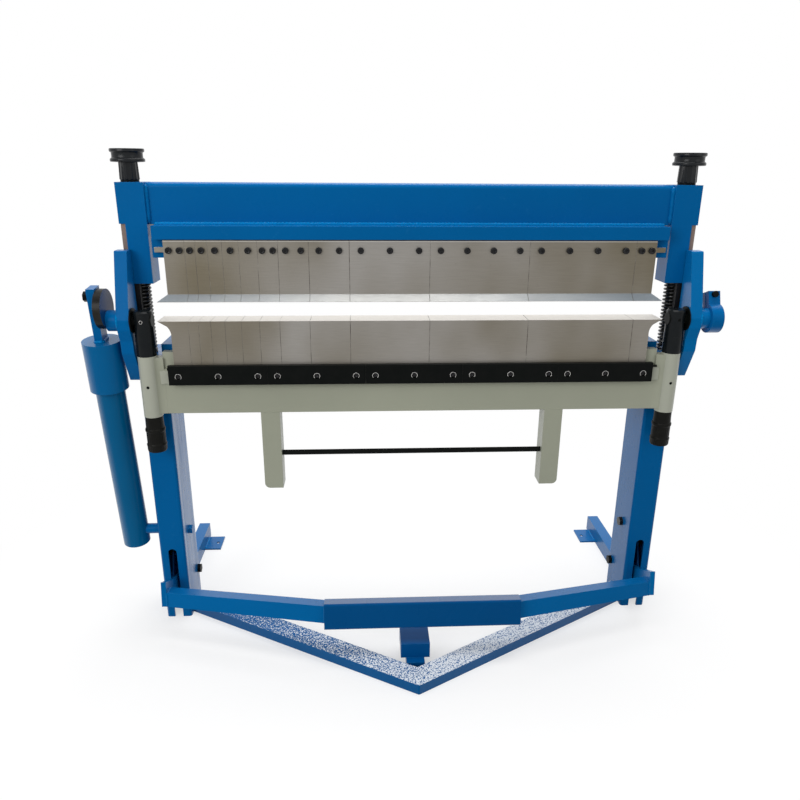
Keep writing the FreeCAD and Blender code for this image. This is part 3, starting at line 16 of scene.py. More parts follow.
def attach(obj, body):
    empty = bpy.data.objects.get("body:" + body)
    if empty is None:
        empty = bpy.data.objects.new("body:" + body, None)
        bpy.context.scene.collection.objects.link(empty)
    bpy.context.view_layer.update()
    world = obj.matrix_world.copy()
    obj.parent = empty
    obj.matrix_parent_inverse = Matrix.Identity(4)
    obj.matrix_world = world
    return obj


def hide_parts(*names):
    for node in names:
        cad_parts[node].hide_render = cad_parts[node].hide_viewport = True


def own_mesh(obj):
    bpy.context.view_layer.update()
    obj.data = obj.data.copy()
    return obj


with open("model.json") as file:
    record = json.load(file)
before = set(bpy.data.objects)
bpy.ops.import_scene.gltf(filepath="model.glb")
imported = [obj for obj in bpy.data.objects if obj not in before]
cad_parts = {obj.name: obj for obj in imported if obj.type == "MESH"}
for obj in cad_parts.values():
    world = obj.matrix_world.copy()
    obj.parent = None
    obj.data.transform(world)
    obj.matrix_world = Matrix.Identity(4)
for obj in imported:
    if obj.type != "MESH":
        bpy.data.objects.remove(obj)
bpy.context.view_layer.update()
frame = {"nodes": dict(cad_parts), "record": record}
nodes = frame["nodes"]

# The photographed machine's middle lies this far from the middle of its whole box
SHIFT_X = 0.0249
SHIFT_Y = -0.108391
TO_ROW = Matrix.Translation((SHIFT_X, SHIFT_Y, 0)) @ Matrix.Scale(0.001, 4)
FROM_ROW = TO_ROW.inverted()

# Directions in which a turned piece can point
UP = Matrix.Identity(3)
TO_FRONT = Matrix.Rotation(math.radians(90), 3, "X")
TO_RIGHT = Matrix.Rotation(math.radians(90), 3, "Y")

# Places taken over from the CAD model
LEG_OUT_X = 716
POST_X = 673.8
POST_R = 23.7
ROD_X = 696
ROD_Y = 90
FOLD_Z = 900
APRON_FRONT_Y = -6
APRON_BOTTOM_Z = 657
PIVOT = Vector((0, 160, 92))
PEDAL_TILT = 9.5
STRUT_X = -786.6
PIN = Vector((STRUT_X, 0, 960))
STRUT_LEAN = 6.332
HANGER_FOOT = PIN.z - 113
ROD_TOP_Z = 1231
LOWER_KNOB_Z = 552
SET_SCREW_Z = 732
CLAMP_BAR_Z = 778
SPRING_LOW_Z = 795.0
SPRING_HIGH_Z = 983.0
GUIDE_LOW_Z = 842
FINGER_PLATE_TOP_Z = 1128.5

# Heights in metres on the upper fingers: a pale painted highlight band, and the dark painted shadow line under
# the finger plate at their upper edge
HIGHLIGHT_BAND_Z = 1.0895
FINGER_TOP_Z = 1.0922

# Camera fitted to the photograph: place in drawing millimetres, turns in degrees
CAMERA_PLACE = Vector((-125.05, -1728.86, 1274.97))
CAMERA_LENS = 31.37
CAMERA_HEADING = -2.979
CAMERA_DIP = 18.810
CAMERA_ROLL = 0.406


class Mat:
    """A small helper around one node material."""

    def __init__(self, name):
        self.mat = bpy.data.materials.new(name)
        self.mat.use_nodes = True
        self.tree = self.mat.node_tree
        self.out = self.tree.nodes["Principled BSDF"]
        self.coord = self.add("ShaderNodeTexCoord").outputs["Object"]

    def add(self, kind, **values):
        node = self.tree.nodes.new(kind)
        for key, value in values.items():
            if hasattr(node, key):
                setattr(node, key, value)
            else:
                node.inputs[key.replace("_", " ")].default_value = value
        return node

    def link(self, a, b):
        self.tree.links.new(a, b)
        return b

    def set(self, **values):
        for key, value in values.items():
            self.out.inputs[key.replace("_", " ")].default_value = value

    def stretched(self, scale):
        """The object's own coordinates times a scale per axis."""
        node = self.add("ShaderNodeMapping")
        node.inputs["Scale"].default_value = scale
        self.link(self.coord, node.inputs["Vector"])
        return node.outputs["Vector"]

    def noise(self, scale, detail=3.0, rough=0.5, vector=None):
        node = self.add("ShaderNodeTexNoise")
        node.inputs["Scale"].default_value = scale
        node.inputs["Detail"].default_value = detail
        node.inputs["Roughness"].default_value = rough
        self.link(vector or self.coord, node.inputs["Vector"])
        return node.outputs["Fac"]

    def ramp(self, fac, low, high, a=0.0, b=1.0):
        """Maps fac from low..high to a..b, clamped."""
        node = self.add("ShaderNodeMapRange")
        node.inputs["From Min"].default_value = low
        node.inputs["From Max"].default_value = high
        node.inputs["To Min"].default_value = a
        node.inputs["To Max"].default_value = b
        self.link(fac, node.inputs["Value"])
        return node.outputs["Result"]

    def mix(self, fac, a, b, kind="MIX"):
        node = self.add("ShaderNodeMix", data_type="RGBA", blend_type=kind)
        for value, slot in ((fac, 0), (a, 6), (b, 7)):
            if isinstance(value, (tuple, list)):
                node.inputs[slot].default_value = (*value, 1.0)
            elif isinstance(value, float):
                node.inputs[slot].default_value = value
            else:
                self.link(value, node.inputs[slot])
        return node.outputs[2]

    def math(self, op, a, b=None, c=None):
        node = self.add("ShaderNodeMath", operation=op)
        for value, slot in ((a, 0), (b, 1), (c, 2)):
            if value is None:
                continue
            if isinstance(value, float):
                node.inputs[slot].default_value = value
            else:
                self.link(value, node.inputs[slot])
        return node.outputs[0]

    def times(self, a, b):
        return self.math("MULTIPLY", a, b)

    def edges(self, radius):
        """Rounded edge normal, and a mask that is 1 along sharp edges."""
        bevel = self.add("ShaderNodeBevel", samples=6)
        bevel.inputs["Radius"].default_value = radius
        geo = self.add("ShaderNodeNewGeometry")
        dot = self.add("ShaderNodeVectorMath", operation="DOT_PRODUCT")
        self.link(bevel.outputs["Normal"], dot.inputs[0])
        self.link(geo.outputs["Normal"], dot.inputs[1])
        mask = self.ramp(dot.outputs["Value"], 0.99, 0.8)
        return bevel.outputs["Normal"], mask

    def bump(self, height, strength, distance, normal=None):
        node = self.add("ShaderNodeBump")
        node.inputs["Strength"].default_value = strength
        node.inputs["Distance"].default_value = distance
        self.link(height, node.inputs["Height"])
        if normal is not None:
            self.link(normal, node.inputs["Normal"])
        return node.outputs["Normal"]

    def axis(self, name):
        """One of the object's own coordinates in metres."""
        node = self.add("ShaderNodeSeparateXYZ")
        self.link(self.coord, node.inputs[0])
        return node.outputs[name]

    def facing(self, name):
        """The surface normal along one axis."""
        geo = self.add("ShaderNodeNewGeometry")
        node = self.add("ShaderNodeSeparateXYZ")
        self.link(geo.outputs["Normal"], node.inputs[0])
        return node.outputs[name]

    def finish(self, colour, rough, normal):
        self.link(colour, self.out.inputs["Base Color"])
        self.link(rough, self.out.inputs["Roughness"])
        self.link(normal, self.out.inputs["Normal"])
        return self.mat


# Blue enamel, and the paler paint on its flecks and on its edges, where it stands for wear and for painted
# highlight
BLUE_COLOUR = (0.0, 0.128, 0.375)
BLUE_PALE = (0.08, 0.40, 0.72)


def paint(name, base, pale, rough, ior, peel, edge=0.3, gloss=0.4, streak=0.0, speckle=0.0):
    """Sprayed enamel: slight drift, orange peel, paler edges that are partly wear and partly painted
    highlight, white speckle on upward faces that is painted glints, and a clear gloss seen at a slant.
    """
    m = Mat(name)
    normal, mask = m.edges(0.0014)
    deep = tuple(0.88 * c for c in base)
    colour = m.mix(m.ramp(m.noise(2.2, 4.0, 0.6), 0.3, 0.7), base, deep)
    fleck = m.noise(35.0, 4.0, 0.65)
    colour = m.mix(m.ramp(fleck, 0.64, 0.8, 0.0, 0.08), colour, pale)
    # White speckle on upward faces, denser towards the right: painted glints of light
    if speckle:
        upward = m.ramp(m.facing("Z"), 0.6, 0.95)
        along = m.math("ADD", m.ramp(m.axis("X"), -0.5, 0.12, -0.12, 0.07), m.noise(290.0, 1.0, 0.5))
        painted_glints = m.ramp(along, 0.475, 0.525, 0.0, speckle)
        colour = m.mix(m.times(painted_glints, upward), colour, (0.93, 0.96, 0.98))
    # Pale edges: partly worn paint, partly painted highlight
    worn_and_lit = m.times(mask, m.ramp(m.noise(60.0, 3.0), 0.35, 0.65, 0.4, 1.0))
    colour = m.mix(m.times(worn_and_lit, edge), colour, pale)
    height = m.math("ADD", m.times(m.noise(260.0, 2.0), 0.5), m.noise(45.0, 2.0))
    normal = m.bump(height, peel, 0.0015, normal)
    rough_map = m.ramp(m.noise(12.0, 4.0, 0.6), 0.3, 0.7, rough * 0.8, rough * 1.25)
    slant = m.add("ShaderNodeLayerWeight", Blend=0.5).outputs["Facing"]
    coat = m.ramp(slant, 0.28, 0.6, 0.0, gloss)
    if streak:
        runs = m.noise(1.0, 3.0, 0.6, m.stretched((70.0, 70.0, 2.5)))
        coat = m.times(coat, m.ramp(runs, 0.38, 0.6, 1.0 - streak, 1.0))
    m.link(coat, m.out.inputs["Coat Weight"])
    m.set(IOR=ior, Coat_IOR=2.2, Coat_Roughness=0.25)
    return m.finish(colour, rough_map, normal)


def blue(name, tone=(1.0, 1.0, 1.0), **values):
    """The blue enamel, made a little lighter or darker as painted light and shade, where the photograph shows
    it.
    """
    base = tuple(c * t for c, t in zip(BLUE_COLOUR, tone))
    settings = {"pale": BLUE_PALE, "rough": 0.28, "ior": 1.12, "peel": 0.12}
    settings.update(values)
    return paint("blue_" + name, base, **settings)


def ground_steel(name, grey, warm, rough, joints=(), metallic=0.8):
    """Ground plate: grinding lines, a warm tint towards the ends that is partly oil tint and partly painted
    reflection, toes and tops painted with reflected light, and dark broken joints.
    """
    m = Mat(name)
    normal, mask = m.edges(0.0008)
    # Warm tint towards the ends, lighter grey in the middle: partly oil tint, partly painted reflection
    side = m.ramp(m.math("ABSOLUTE", m.math("ADD", m.axis("X"), 0.03)), 0.12, 0.62)
    smudge = m.noise(5.0, 5.0, 0.6, m.stretched((1.0, 1.0, 2.2)))
    zones = m.noise(4.2, 2.0, 0.5, m.stretched((1.0, 1.0, 0.6)))
    tint_and_reflection = m.math("ADD", m.times(side, 0.6), m.ramp(zones, 0.35, 0.68, -0.25, 0.5))
    colour = m.mix(tint_and_reflection, grey, warm)
    lines = m.noise(1.0, 3.0, 0.7, m.stretched((24.0, 40.0, 900.0)))
    colour = m.mix(m.ramp(lines, 0.35, 0.7, 0.0, 0.1), colour, (0.03, 0.026, 0.02))
    spots = m.noise(75.0, 4.0, 0.7)
    colour = m.mix(m.ramp(spots, 0.66, 0.8, 0.0, 0.35), colour, (0.1, 0.075, 0.05))
    # Cooler colour on the sloping toes and pale colour on upward tops: painted reflection of the bright
    # surroundings
    slope = m.times(m.ramp(m.facing("Z"), 0.4, 0.6), m.ramp(m.facing("Z"), 0.94, 0.85))
    toe_reflection = m.mix(side, (0.36, 0.36, 0.35), (0.175, 0.2, 0.22))
    colour = m.mix(slope, colour, toe_reflection)
    colour = m.mix(m.ramp(m.facing("Z"), 0.9, 0.98), colour, (0.8, 0.765, 0.71))
    colour = m.mix(m.times(mask, 0.55), colour, (0.75, 0.74, 0.72))
    if joints:
        wave = m.ramp(m.noise(9.0, 2.0), 0.0, 1.0, -0.0008, 0.0008)
        across = m.math("ADD", m.axis("X"), wave)
        seam = None
        for x in joints:
            near = m.math("COMPARE", across, x, 0.0007)
            seam = near if seam is None else m.math("MAXIMUM", seam, near)
        broken = m.ramp(m.noise(16.0, 3.0, 0.7), 0.36, 0.6, 0.15, 0.95)
        seam = m.times(seam, m.math("MAXIMUM", broken, m.times(slope, 0.75)))
        seam = m.times(seam, m.ramp(m.axis("X"), -0.42, -0.15, 0.5, 1.0))
        colour = m.mix(seam, colour, (0.04, 0.03, 0.022))
        # Pale band just below the fingers' upper edge: painted highlight
        highlight_band = m.ramp(m.axis("Z"), HIGHLIGHT_BAND_Z, HIGHLIGHT_BAND_Z + 0.001, 0.0, 0.5)
        colour = m.mix(highlight_band, colour, (0.6, 0.58, 0.54))
        # Dark line along the fingers' upper edge, under the finger plate: painted shadow
        colour = m.mix(m.ramp(m.axis("Z"), FINGER_TOP_Z, FINGER_TOP_Z + 0.0006), colour, (0.02, 0.012, 0.009))
    rough_map = m.ramp(m.math("ADD", lines, smudge), 0.7, 1.3, rough * 0.8, rough * 1.3)
    normal = m.bump(lines, 0.06, 0.0004, normal)
    m.set(Metallic=metallic)
    return m.finish(colour, rough_map, normal)


def dark_metal(name, base, pale, rough, grain, edge=0.35, ior=1.25, rubbed_and_lit=(0.16, 0.15, 0.14)):
    """Blackened steel or moulded plastic: faint mottling, grain, and paler edges that are partly rubbed and
    partly painted highlight.
    """
    m = Mat(name)
    normal, mask = m.edges(0.0006)
    mottle = m.noise(40.0, 5.0, 0.65)
    colour = m.mix(m.ramp(mottle, 0.35, 0.75, 0.0, 0.6), base, pale)
    # Paler edges: partly rubbed metal, partly painted highlight
    worn_and_lit = m.times(mask, m.ramp(m.noise(90.0, 3.0), 0.4, 0.6, 0.15, 1.0))
    colour = m.mix(m.times(worn_and_lit, edge), colour, rubbed_and_lit)
    normal = m.bump(m.noise(grain, 3.0, 0.6), 0.12, 0.0006, normal)
    rough_map = m.ramp(mottle, 0.3, 0.7, rough * 0.8, rough * 1.2)
    m.set(IOR=ior)
    return m.finish(colour, rough_map, normal)


def guide_steel(name):
    """Bare brown-grey bar, black below a height near the clamping beam's end blocks."""
    m = Mat(name)
    normal, mask = m.edges(0.0008)
    patches = m.noise(18.0, 5.0, 0.7, m.stretched((1.0, 1.0, 0.4)))
    colour = m.mix(m.ramp(patches, 0.3, 0.7), (0.27, 0.19, 0.155), (0.2, 0.155, 0.135))
    black = m.ramp(m.math("ADD", m.axis("Z"), m.times(patches, 0.03)), 1.035, 1.005)
    colour = m.mix(black, colour, (0.007, 0.007, 0.008))
    colour = m.mix(m.times(mask, 0.4), colour, (0.5, 0.48, 0.45))
    normal = m.bump(m.noise(160.0, 3.0), 0.1, 0.0005, normal)
    m.set(IOR=1.3, Metallic=0.15)
    return m.finish(colour, m.ramp(patches, 0.3, 0.7, 0.4, 0.6), normal)


def crank_finish(name):
    """Black turned rim and dark blue faces."""
    m = Mat(name)
    normal, mask = m.edges(0.0008)
    flat = m.ramp(m.math("ABSOLUTE", m.facing("X")), 0.4, 0.7)
    patches = m.noise(22.0, 4.0, 0.6)
    rim = m.mix(m.ramp(patches, 0.4, 0.7), (0.004, 0.004, 0.004), (0.016, 0.015, 0.011))
    colour = m.mix(flat, rim, (0.002, 0.034, 0.12))
    colour = m.mix(m.times(mask, 0.5), colour, (0.12, 0.14, 0.16))
    normal = m.bump(m.noise(200.0, 3.0), 0.08, 0.0005, normal)
    m.set(IOR=1.25)
    return m.finish(colour, m.ramp(patches, 0.3, 0.7, 0.25, 0.35), normal)


def leg_bolt_finish(name):
    """Black bolts, of which the left leg's are painted over in blue."""
    m = Mat(name)
    normal, mask = m.edges(0.0012)
    patches = m.noise(60.0, 4.0, 0.6)
    black = m.mix(m.ramp(patches, 0.35, 0.7), (0.005, 0.005, 0.005), (0.02, 0.017, 0.013))
    colour = m.mix(m.ramp(m.axis("X"), -0.01, 0.01), (0.0, 0.14, 0.4), black)
    # Pale grey edges: painted highlight
    colour = m.mix(m.times(mask, 0.6), colour, (0.22, 0.27, 0.32))
    normal = m.bump(patches, 0.1, 0.0006, normal)
    m.set(IOR=1.3)
    return m.finish(colour, m.ramp(patches, 0.3, 0.7, 0.25, 0.4), normal)


def solids(name):
    """Lowest and highest corner of each solid of a node in millimetres, from left to right."""
    bm = bmesh.new()
    bm.from_mesh(nodes[name].data)
    bmesh.ops.remove_doubles(bm, verts=bm.verts, dist=1e-6)
    left = set(bm.verts)
    boxes = []
    while left:
        group = [left.pop()]
        for vert in group:
            for edge in vert.link_edges:
                other = edge.other_vert(vert)
                if other in left:
                    left.remove(other)
                    group.append(other)
        places = [FROM_ROW @ vert.co for vert in group]
        low = Vector([min(p[i] for p in places) for i in range(3)])
        high = Vector([max(p[i] for p in places) for i in range(3)])
        boxes.append((low, high))
    bm.free()
    return sorted(boxes, key=lambda pair: pair[0].x)


BLADE_JOINTS = [high.x / 1000 + SHIFT_X for low, high in solids("upper_fingers")[:-1]]

BLUE = blue("enamel")
# Lighter and darker copies of the enamel per part are painted light and shade: lighter on the right cheek and
# lever, arms, welds and seams, darker on the right leg, treadle, stop block, strut and its head, floor bars
# and links
BLUE_LIT = blue("right_cheek", (1, 1.22, 1.15))
BLUE_LEG = blue("leg", streak=0.5, gloss=0.8)
BLUE_RIGHT_LEG = blue("right_leg", (1, 0.95, 0.95), gloss=0.3)
BLUE_TREADLE = blue("treadle", (1, 0.6, 0.66), gloss=0.9)
BLUE_STOP = blue("stop_block", (1, 0.6, 0.7), gloss=0.3)
BLUE_ARM = blue("pedal_arms", (1, 1.07, 1.05))
BLUE_STRUT = blue("strut", (1, 0.95, 0.78), ior=1.16, rough=0.2)
BLUE_HEAD = blue("strut_head", (1, 1.0, 0.9), ior=1.16, rough=0.2)
BLUE_FLOOR = blue("floor_bars", (1, 0.85, 0.88), speckle=0.8, peel=0.2)
BLUE_WELD = blue("weld", (1, 1.6, 1.4), peel=0.3, edge=0.1)
BLUE_SEAM = blue("seam", (1, 1.15, 1.08), peel=0.5, edge=0.1)
BLUE_SHADED = blue("links", (1, 0.3, 0.45))
CRANK = crank_finish("crank_black")
LEG_BOLTS = leg_bolt_finish("leg_bolts")
GREY = paint("apron_enamel", (0.40, 0.415, 0.325), (0.55, 0.56, 0.5), 0.45, 1.25, 0.06, 0.2)
GREY_LIGHT = paint("sleeve_enamel", (0.45, 0.465, 0.385), (0.6, 0.61, 0.55), 0.45, 1.25, 0.06, 0.2)
BLADES = ground_steel("blade_steel", (0.295, 0.28, 0.258), (0.15, 0.128, 0.086), 0.42, BLADE_JOINTS)
BARE = ground_steel("bare_steel", (0.33, 0.29, 0.25), (0.25, 0.19, 0.15), 0.4)
BRIGHT = ground_steel("bright_steel", (0.9, 0.88, 0.84), (0.8, 0.78, 0.74), 0.3, metallic=0.4)
GUIDE = guide_steel("guide_steel")
BLACK = dark_metal("black_oxide", (0.003, 0.004, 0.0036), (0.007, 0.0075, 0.007), 0.36, 220.0, ior=1.14)
POST = dark_metal("post_black", (0.004, 0.006, 0.0075), (0.011, 0.013, 0.014), 0.24, 220.0, ior=1.22)
# Bolt heads: pale edges at full strength, painted highlight on the chamfers and socket rims
SOCKET = dark_metal("bolt_black", (0.004, 0.004, 0.005), (0.009, 0.009, 0.01), 0.22, 300.0, 1.0, 1.3,
                    (0.2, 0.21, 0.23))
SPRING = dark_metal("spring_black", (0.004, 0.004, 0.005), (0.01, 0.01, 0.011), 0.25, 300.0, 0.3, 1.5)
PLASTIC = dark_metal("black_plastic", (0.006, 0.0075, 0.0095), (0.011, 0.0135, 0.016), 0.22, 500.0, 0.3, 1.3,
                     (0.1, 0.12, 0.14))
GRIP = dark_metal("grip_plastic", (0.007, 0.007, 0.006), (0.013, 0.013, 0.011), 0.33, 500.0, 0.3, 1.16,
                  (0.06, 0.06, 0.055))

SLOT_LOOKS = {
    "blue_paint": BLUE,
    "apron_paint": GREY,
    "blade_steel": BLADES,
    "bare_steel": BARE,
    "black_steel": BLACK,
    "spring_steel": SPRING,
    "black_plastic": PLASTIC,
}
NODE_LOOKS = {
    "right_cheek_plate": BLUE_LIT,
    "left_leg": BLUE_LEG,
    "right_leg": BLUE_RIGHT_LEG,
    "left_pedal_arm": BLUE_ARM,
    "right_pedal_arm": BLUE_ARM,
    "treadle": BLUE_TREADLE,
    "strut_tube": BLUE_STRUT,
    "strut_head": BLUE_HEAD,
    "base_frame": BLUE_FLOOR,
    "pedal_stop": BLUE_STOP,
    "right_pedal_lever": BLUE_LIT,
    "left_apron_sleeve": GREY_LIGHT,
    "right_apron_sleeve": GREY_LIGHT,
    "left_guide_bar": GUIDE,
    "right_guide_bar": GUIDE,
    "left_hinge_post": POST,
    "right_hinge_post": POST,
    "crank_disc": CRANK,
    "leg_bolts": LEG_BOLTS,
    "left_pull_rod": BLACK,
    "right_pull_rod": BLACK,
    "knob_washers": BLACK,
}
# Each recorded part shows its node's own look where one is listed, else the look of its record slot
for part in frame["record"]["subparts"]:
    shown = nodes[part["node"]]
    shown.data.materials.clear()
    shown.data.materials.append(NODE_LOOKS.get(part["node"], SLOT_LOOKS[part["material_slot"]]))


def piece(name, bm, look, body, replaced=None, sharp=32):
    """Turn a mesh drawn in millimetres into a piece that rides on a body."""
    bm.transform(TO_ROW)
    bmesh.ops.recalc_face_normals(bm, faces=bm.faces)
    mesh = bpy.data.meshes.new(name)
    bm.to_mesh(mesh)
    bm.free()
    mesh.shade_smooth()
    mesh.set_sharp_from_angle(angle=math.radians(sharp))
    mesh.materials.append(look)
    made = bpy.data.objects.new(name, mesh)
    bpy.context.scene.collection.objects.link(made)
    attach(made, body)
    if replaced:
        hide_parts(replaced)
    return made


def lathe(bm, profile, place, way=UP, sides=40):
    """Turn a profile about a line through place. Each point is (radius, height), then a third
    value of 6 for a six-sided outline or a (count, depth) pair for flutes."""
    rings = []
    for point in profile:
        radius, height = point[:2]
        form = point[2] if len(point) > 2 else None
        ring = []
        for i in range(sides):
            a = 2 * math.pi * i / sides
            r = radius
            if form == 6:
                r = radius * math.cos(math.pi / 6) / math.cos((a + math.pi / 6) % (math.pi / 3) - math.pi / 6)
            elif form:
                r = radius - form[1] * abs(math.sin(form[0] * a / 2))
            ring.append(bm.verts.new(way @ Vector((r * math.cos(a), r * math.sin(a), height)) + place))
        rings.append(ring)
    for low, high in zip(rings, rings[1:]):
        for i in range(sides):
            j = (i + 1) % sides
            bm.faces.new((low[i], low[j], high[j], high[i]))
    bm.faces.new(rings[0][::-1])
    bm.faces.new(rings[-1])


def sweep(bm, centres, radii, sides=10):
    """Join rings round a chain of centres into a closed tube."""
    rings = []
    side = (centres[1] - centres[0]).orthogonal()
    for i, (centre, radius) in enumerate(zip(centres, radii)):
        ahead = (centres[min(i + 1, len(centres) - 1)] - centres[max(i - 1, 0)]).normalized()
        side = (side - ahead * side.dot(ahead)).normalized()
        up = ahead.cross(side)
        turns = [2 * math.pi * k / sides for k in range(sides)]
        rings.append([bm.verts.new(centre + radius * (side * math.cos(a) + up * math.sin(a))) for a in turns])
    for low, high in zip(rings, rings[1:]):
        for i in range(sides):
            j = (i + 1) % sides
            bm.faces.new((low[i], low[j], high[j], high[i]))
    bm.faces.new(rings[0][::-1])
    bm.faces.new(rings[-1])


def bead(bm, start, end, radius, ripple=0.12, pitch=8.0):
    """A rippled weld bead from start to end."""
    pick = random.Random(round(start.x + 3 * start.z))
    run = end - start
    count = max(4, round(run.length / pitch * 4))
    centres = []
    radii = []
    for i in range(count + 1):
        swell = 1 + ripple * math.cos(math.pi * i / 2) + pick.uniform(-0.06, 0.06)
        taper = min(1.0, 0.45 + 0.3 * min(i, count - i))
        centres.append(start + run * i / count)
        radii.append(radius * swell * taper)
    sweep(bm, centres, radii)


def ring_bead(bm, place, ring_radius, radius, way, start=0, end=360, ripple=0.12, pitch=7.0):
    """A round bead, or a plain bent wire when ripple is 0, about a line through place."""
    length = math.radians(end - start) * ring_radius
    count = max(12, round(length / pitch * 4))
    centres = []
    radii = []
    for i in range(count + 1):
        a = math.radians(start + (end - start) * i / count)
        centres.append(way @ Vector((ring_radius * math.cos(a), ring_radius * math.sin(a), 0)) + place)
        radii.append(radius * (1 + ripple * math.cos(math.pi * i / 2)))
    sweep(bm, centres, radii)


def slab(bm, outline, x0, x1, bevel=0.0):
    """A plate of the given YZ outline from x0 to x1, its edges bevelled."""
    ends = [[bm.verts.new((x, y, z)) for y, z in outline] for x in (x0, x1)]
    faces = [bm.faces.new(ends[0][::-1]), bm.faces.new(ends[1])]
    for i in range(len(outline)):
        j = (i + 1) % len(outline)
        faces.append(bm.faces.new((ends[0][i], ends[0][j], ends[1][j], ends[1][i])))
    if bevel:
        edges = list({edge for face in faces for edge in face.edges})
        bmesh.ops.bevel(bm, geom=edges, offset=bevel, segments=2, affect="EDGES")


def turned_about(point, degrees):
    """Turns a drawing about a line along X through point."""
    turn = Matrix.Rotation(math.radians(degrees), 4, "X")
    return Matrix.Translation(point) @ turn @ Matrix.Translation(-point)


LIFTED = turned_about(PIVOT, -PEDAL_TILT)
ON_STRUT = turned_about(PIN, STRUT_LEAN)


def height_knobs():
    """Fluted stem and a waisted rim with rounded lips, on each pull rod."""
    flutes = (12, 1.6)
    profile = [
        (22.5, 0), (24, 1.5, flutes), (22.8, 40, flutes), (37.5, 41), (39.8, 41.6), (40.5, 43.2),
        (40.5, 47), (39.6, 48.6), (37, 50.5), (36.4, 52), (36.4, 61), (37, 62.5), (39.6, 64.2),
        (40.5, 65.6), (40.5, 70), (39.6, 71.5), (38, 72), (31, 72), (29.5, 70.8), (12, 70.8), (11.4, 70.2),
    ]
    for side, name in ((-1, "left_height_knob"), (1, "right_height_knob")):
        bm = bmesh.new()
        lathe(bm, profile, Vector((side * ROD_X, ROD_Y, ROD_TOP_Z)), sides=72)
        piece(name + "_grip", bm, PLASTIC, name, name)


def lower_knobs():
    """Ribbed grip with two rings and a collar, under each sleeve."""
    ribs = (24, 0.7)
    profile = [
        (19.5, 0), (22.8, 1.2), (24.6, 4, ribs), (24.8, 16, ribs), (25.4, 17.5), (25.5, 21), (24.6, 22.5),
        (23.6, 24), (23.9, 25.5, ribs), (23.9, 54, ribs), (23.6, 55.5), (25.2, 57.5), (25.5, 59), (25.5, 63),
        (24.8, 64.5), (23.4, 65.5), (22.6, 80), (22.3, 96.5), (21.5, 97.6),
    ]
    for side, name in ((-1, "left_lower_knob"), (1, "right_lower_knob")):
        bm = bmesh.new()
        lathe(bm, profile, Vector((side * POST_X, 0, LOWER_KNOB_Z)), sides=96)
        piece(name + "_grip", bm, GRIP, name, name)


def return_springs():
    """Round-wire springs with closed ends, and the black guides inside them that come down with the beam."""
    wire = 2.8
    coil_radius = 20.2
    low, high = SPRING_LOW_Z, SPRING_HIGH_Z
    turns = 20
    steps = 26
    closed = 2 * wire
    pitch = (high - low - 2 * wire - 2 * closed) / (turns - 2)
    bm = bmesh.new()
    for side in (-1, 1):
        centres = []
        for i in range(turns * steps + 1):
            t = i / steps
            a = 2 * math.pi * t
            rise = closed * min(t, 1) + pitch * min(max(t - 1, 0), turns - 2) + closed * max(t - turns + 1, 0)
            centres.append(Vector((side * ROD_X + coil_radius * math.cos(a),
                                   ROD_Y + coil_radius * math.sin(a), low + wire + rise)))
        sweep(bm, centres, [wire] * len(centres), 8)
    coils = piece("spring_coils", bm, SPRING, "frame", "return_springs")
    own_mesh(coils)
    bm = bmesh.new()
    for side in (-1, 1):
        profile = [(14.5, GUIDE_LOW_Z), (15.6, GUIDE_LOW_Z + 1.5), (15.6, high)]
        lathe(bm, profile, Vector((side * ROD_X, ROD_Y, 0)))
    piece("spring_guides", bm, BLACK, "beam")


def socket_head(radius, height, socket):
    """Profile of a round head with a chamfered rim and a six-sided socket."""
    return [(radius, 0), (radius, height - 1.2), (radius - 1, height), (socket + 0.5, height),
            (socket, height - 0.4, 6), (socket, height - 0.55 * height, 6)]


def bolts_and_screws():
    """Socket heads on the fingers and in the clamp bars, with bright arcs round the countersinks that are
    painted highlight, open at the bottom where shade falls.
    """
    bm = bmesh.new()
    for low, high in solids("finger_bolts"):
        middle = Vector(((low.x + high.x) / 2, low.y + 7, (low.z + high.z) / 2))
        lathe(bm, socket_head(8, 7, 4), middle, TO_FRONT, 36)
    piece("finger_bolt_heads", bm, SOCKET, "beam", "finger_bolts")
    bm = bmesh.new()
    highlight_rims = bmesh.new()
    for low, high in solids("clamp_screws"):
        middle = Vector(((low.x + high.x) / 2, low.y + 6.5, (low.z + high.z) / 2))
        lathe(bm, socket_head(6.4, 3.2, 3.4), middle, TO_FRONT, 36)
        # Bright arc over the top and sides of each countersink, none at the bottom: painted highlight
        ring_bead(highlight_rims, middle + Vector((0, -6.9, 0)), 7.5, 0.48, TO_FRONT, -45, 225, 0, 4.0)
    piece("clamp_screw_heads", bm, SOCKET, "apron", "clamp_screws")
    piece("clamp_screw_rims", highlight_rims, BRIGHT, "apron")
    bm = bmesh.new()
    ring_bead(bm, Vector((-POST_X, -POST_R + 0.1, FOLD_Z)), 3.8, 0.45, TO_FRONT, 0, 360, 0, 3.0)
    piece("left_set_screw_rim", bm, BRIGHT, "folding_frame")
    bm = bmesh.new()
    for x0, x1 in ((-624, -617), (617, 633)):
        profile = [(2.6, x0), (3.2, x0 + 0.6), (3.2, x1 - 0.6), (2.6, x1)]
        lathe(bm, profile, Vector((0, -16, CLAMP_BAR_Z)), TO_RIGHT, 24)
    piece("bar_end_pins", bm, BLACK, "apron")
    bm = bmesh.new()
    for side in (-1, 1):
        lathe(bm, [(3.9, -4), (3.9, 2.4)], Vector((side * POST_X, -POST_R + 4, SET_SCREW_Z)), TO_FRONT, 24)
    piece("sleeve_set_screws", bm, BLACK, "apron")
    bm = bmesh.new()
    for side in (-1, 1):
        lathe(bm, [(3.9, -4), (3.9, 2.4)], Vector((side * POST_X, -POST_R + 4, FOLD_Z)), TO_FRONT, 24)
    piece("post_set_screws", bm, BLACK, "folding_frame")


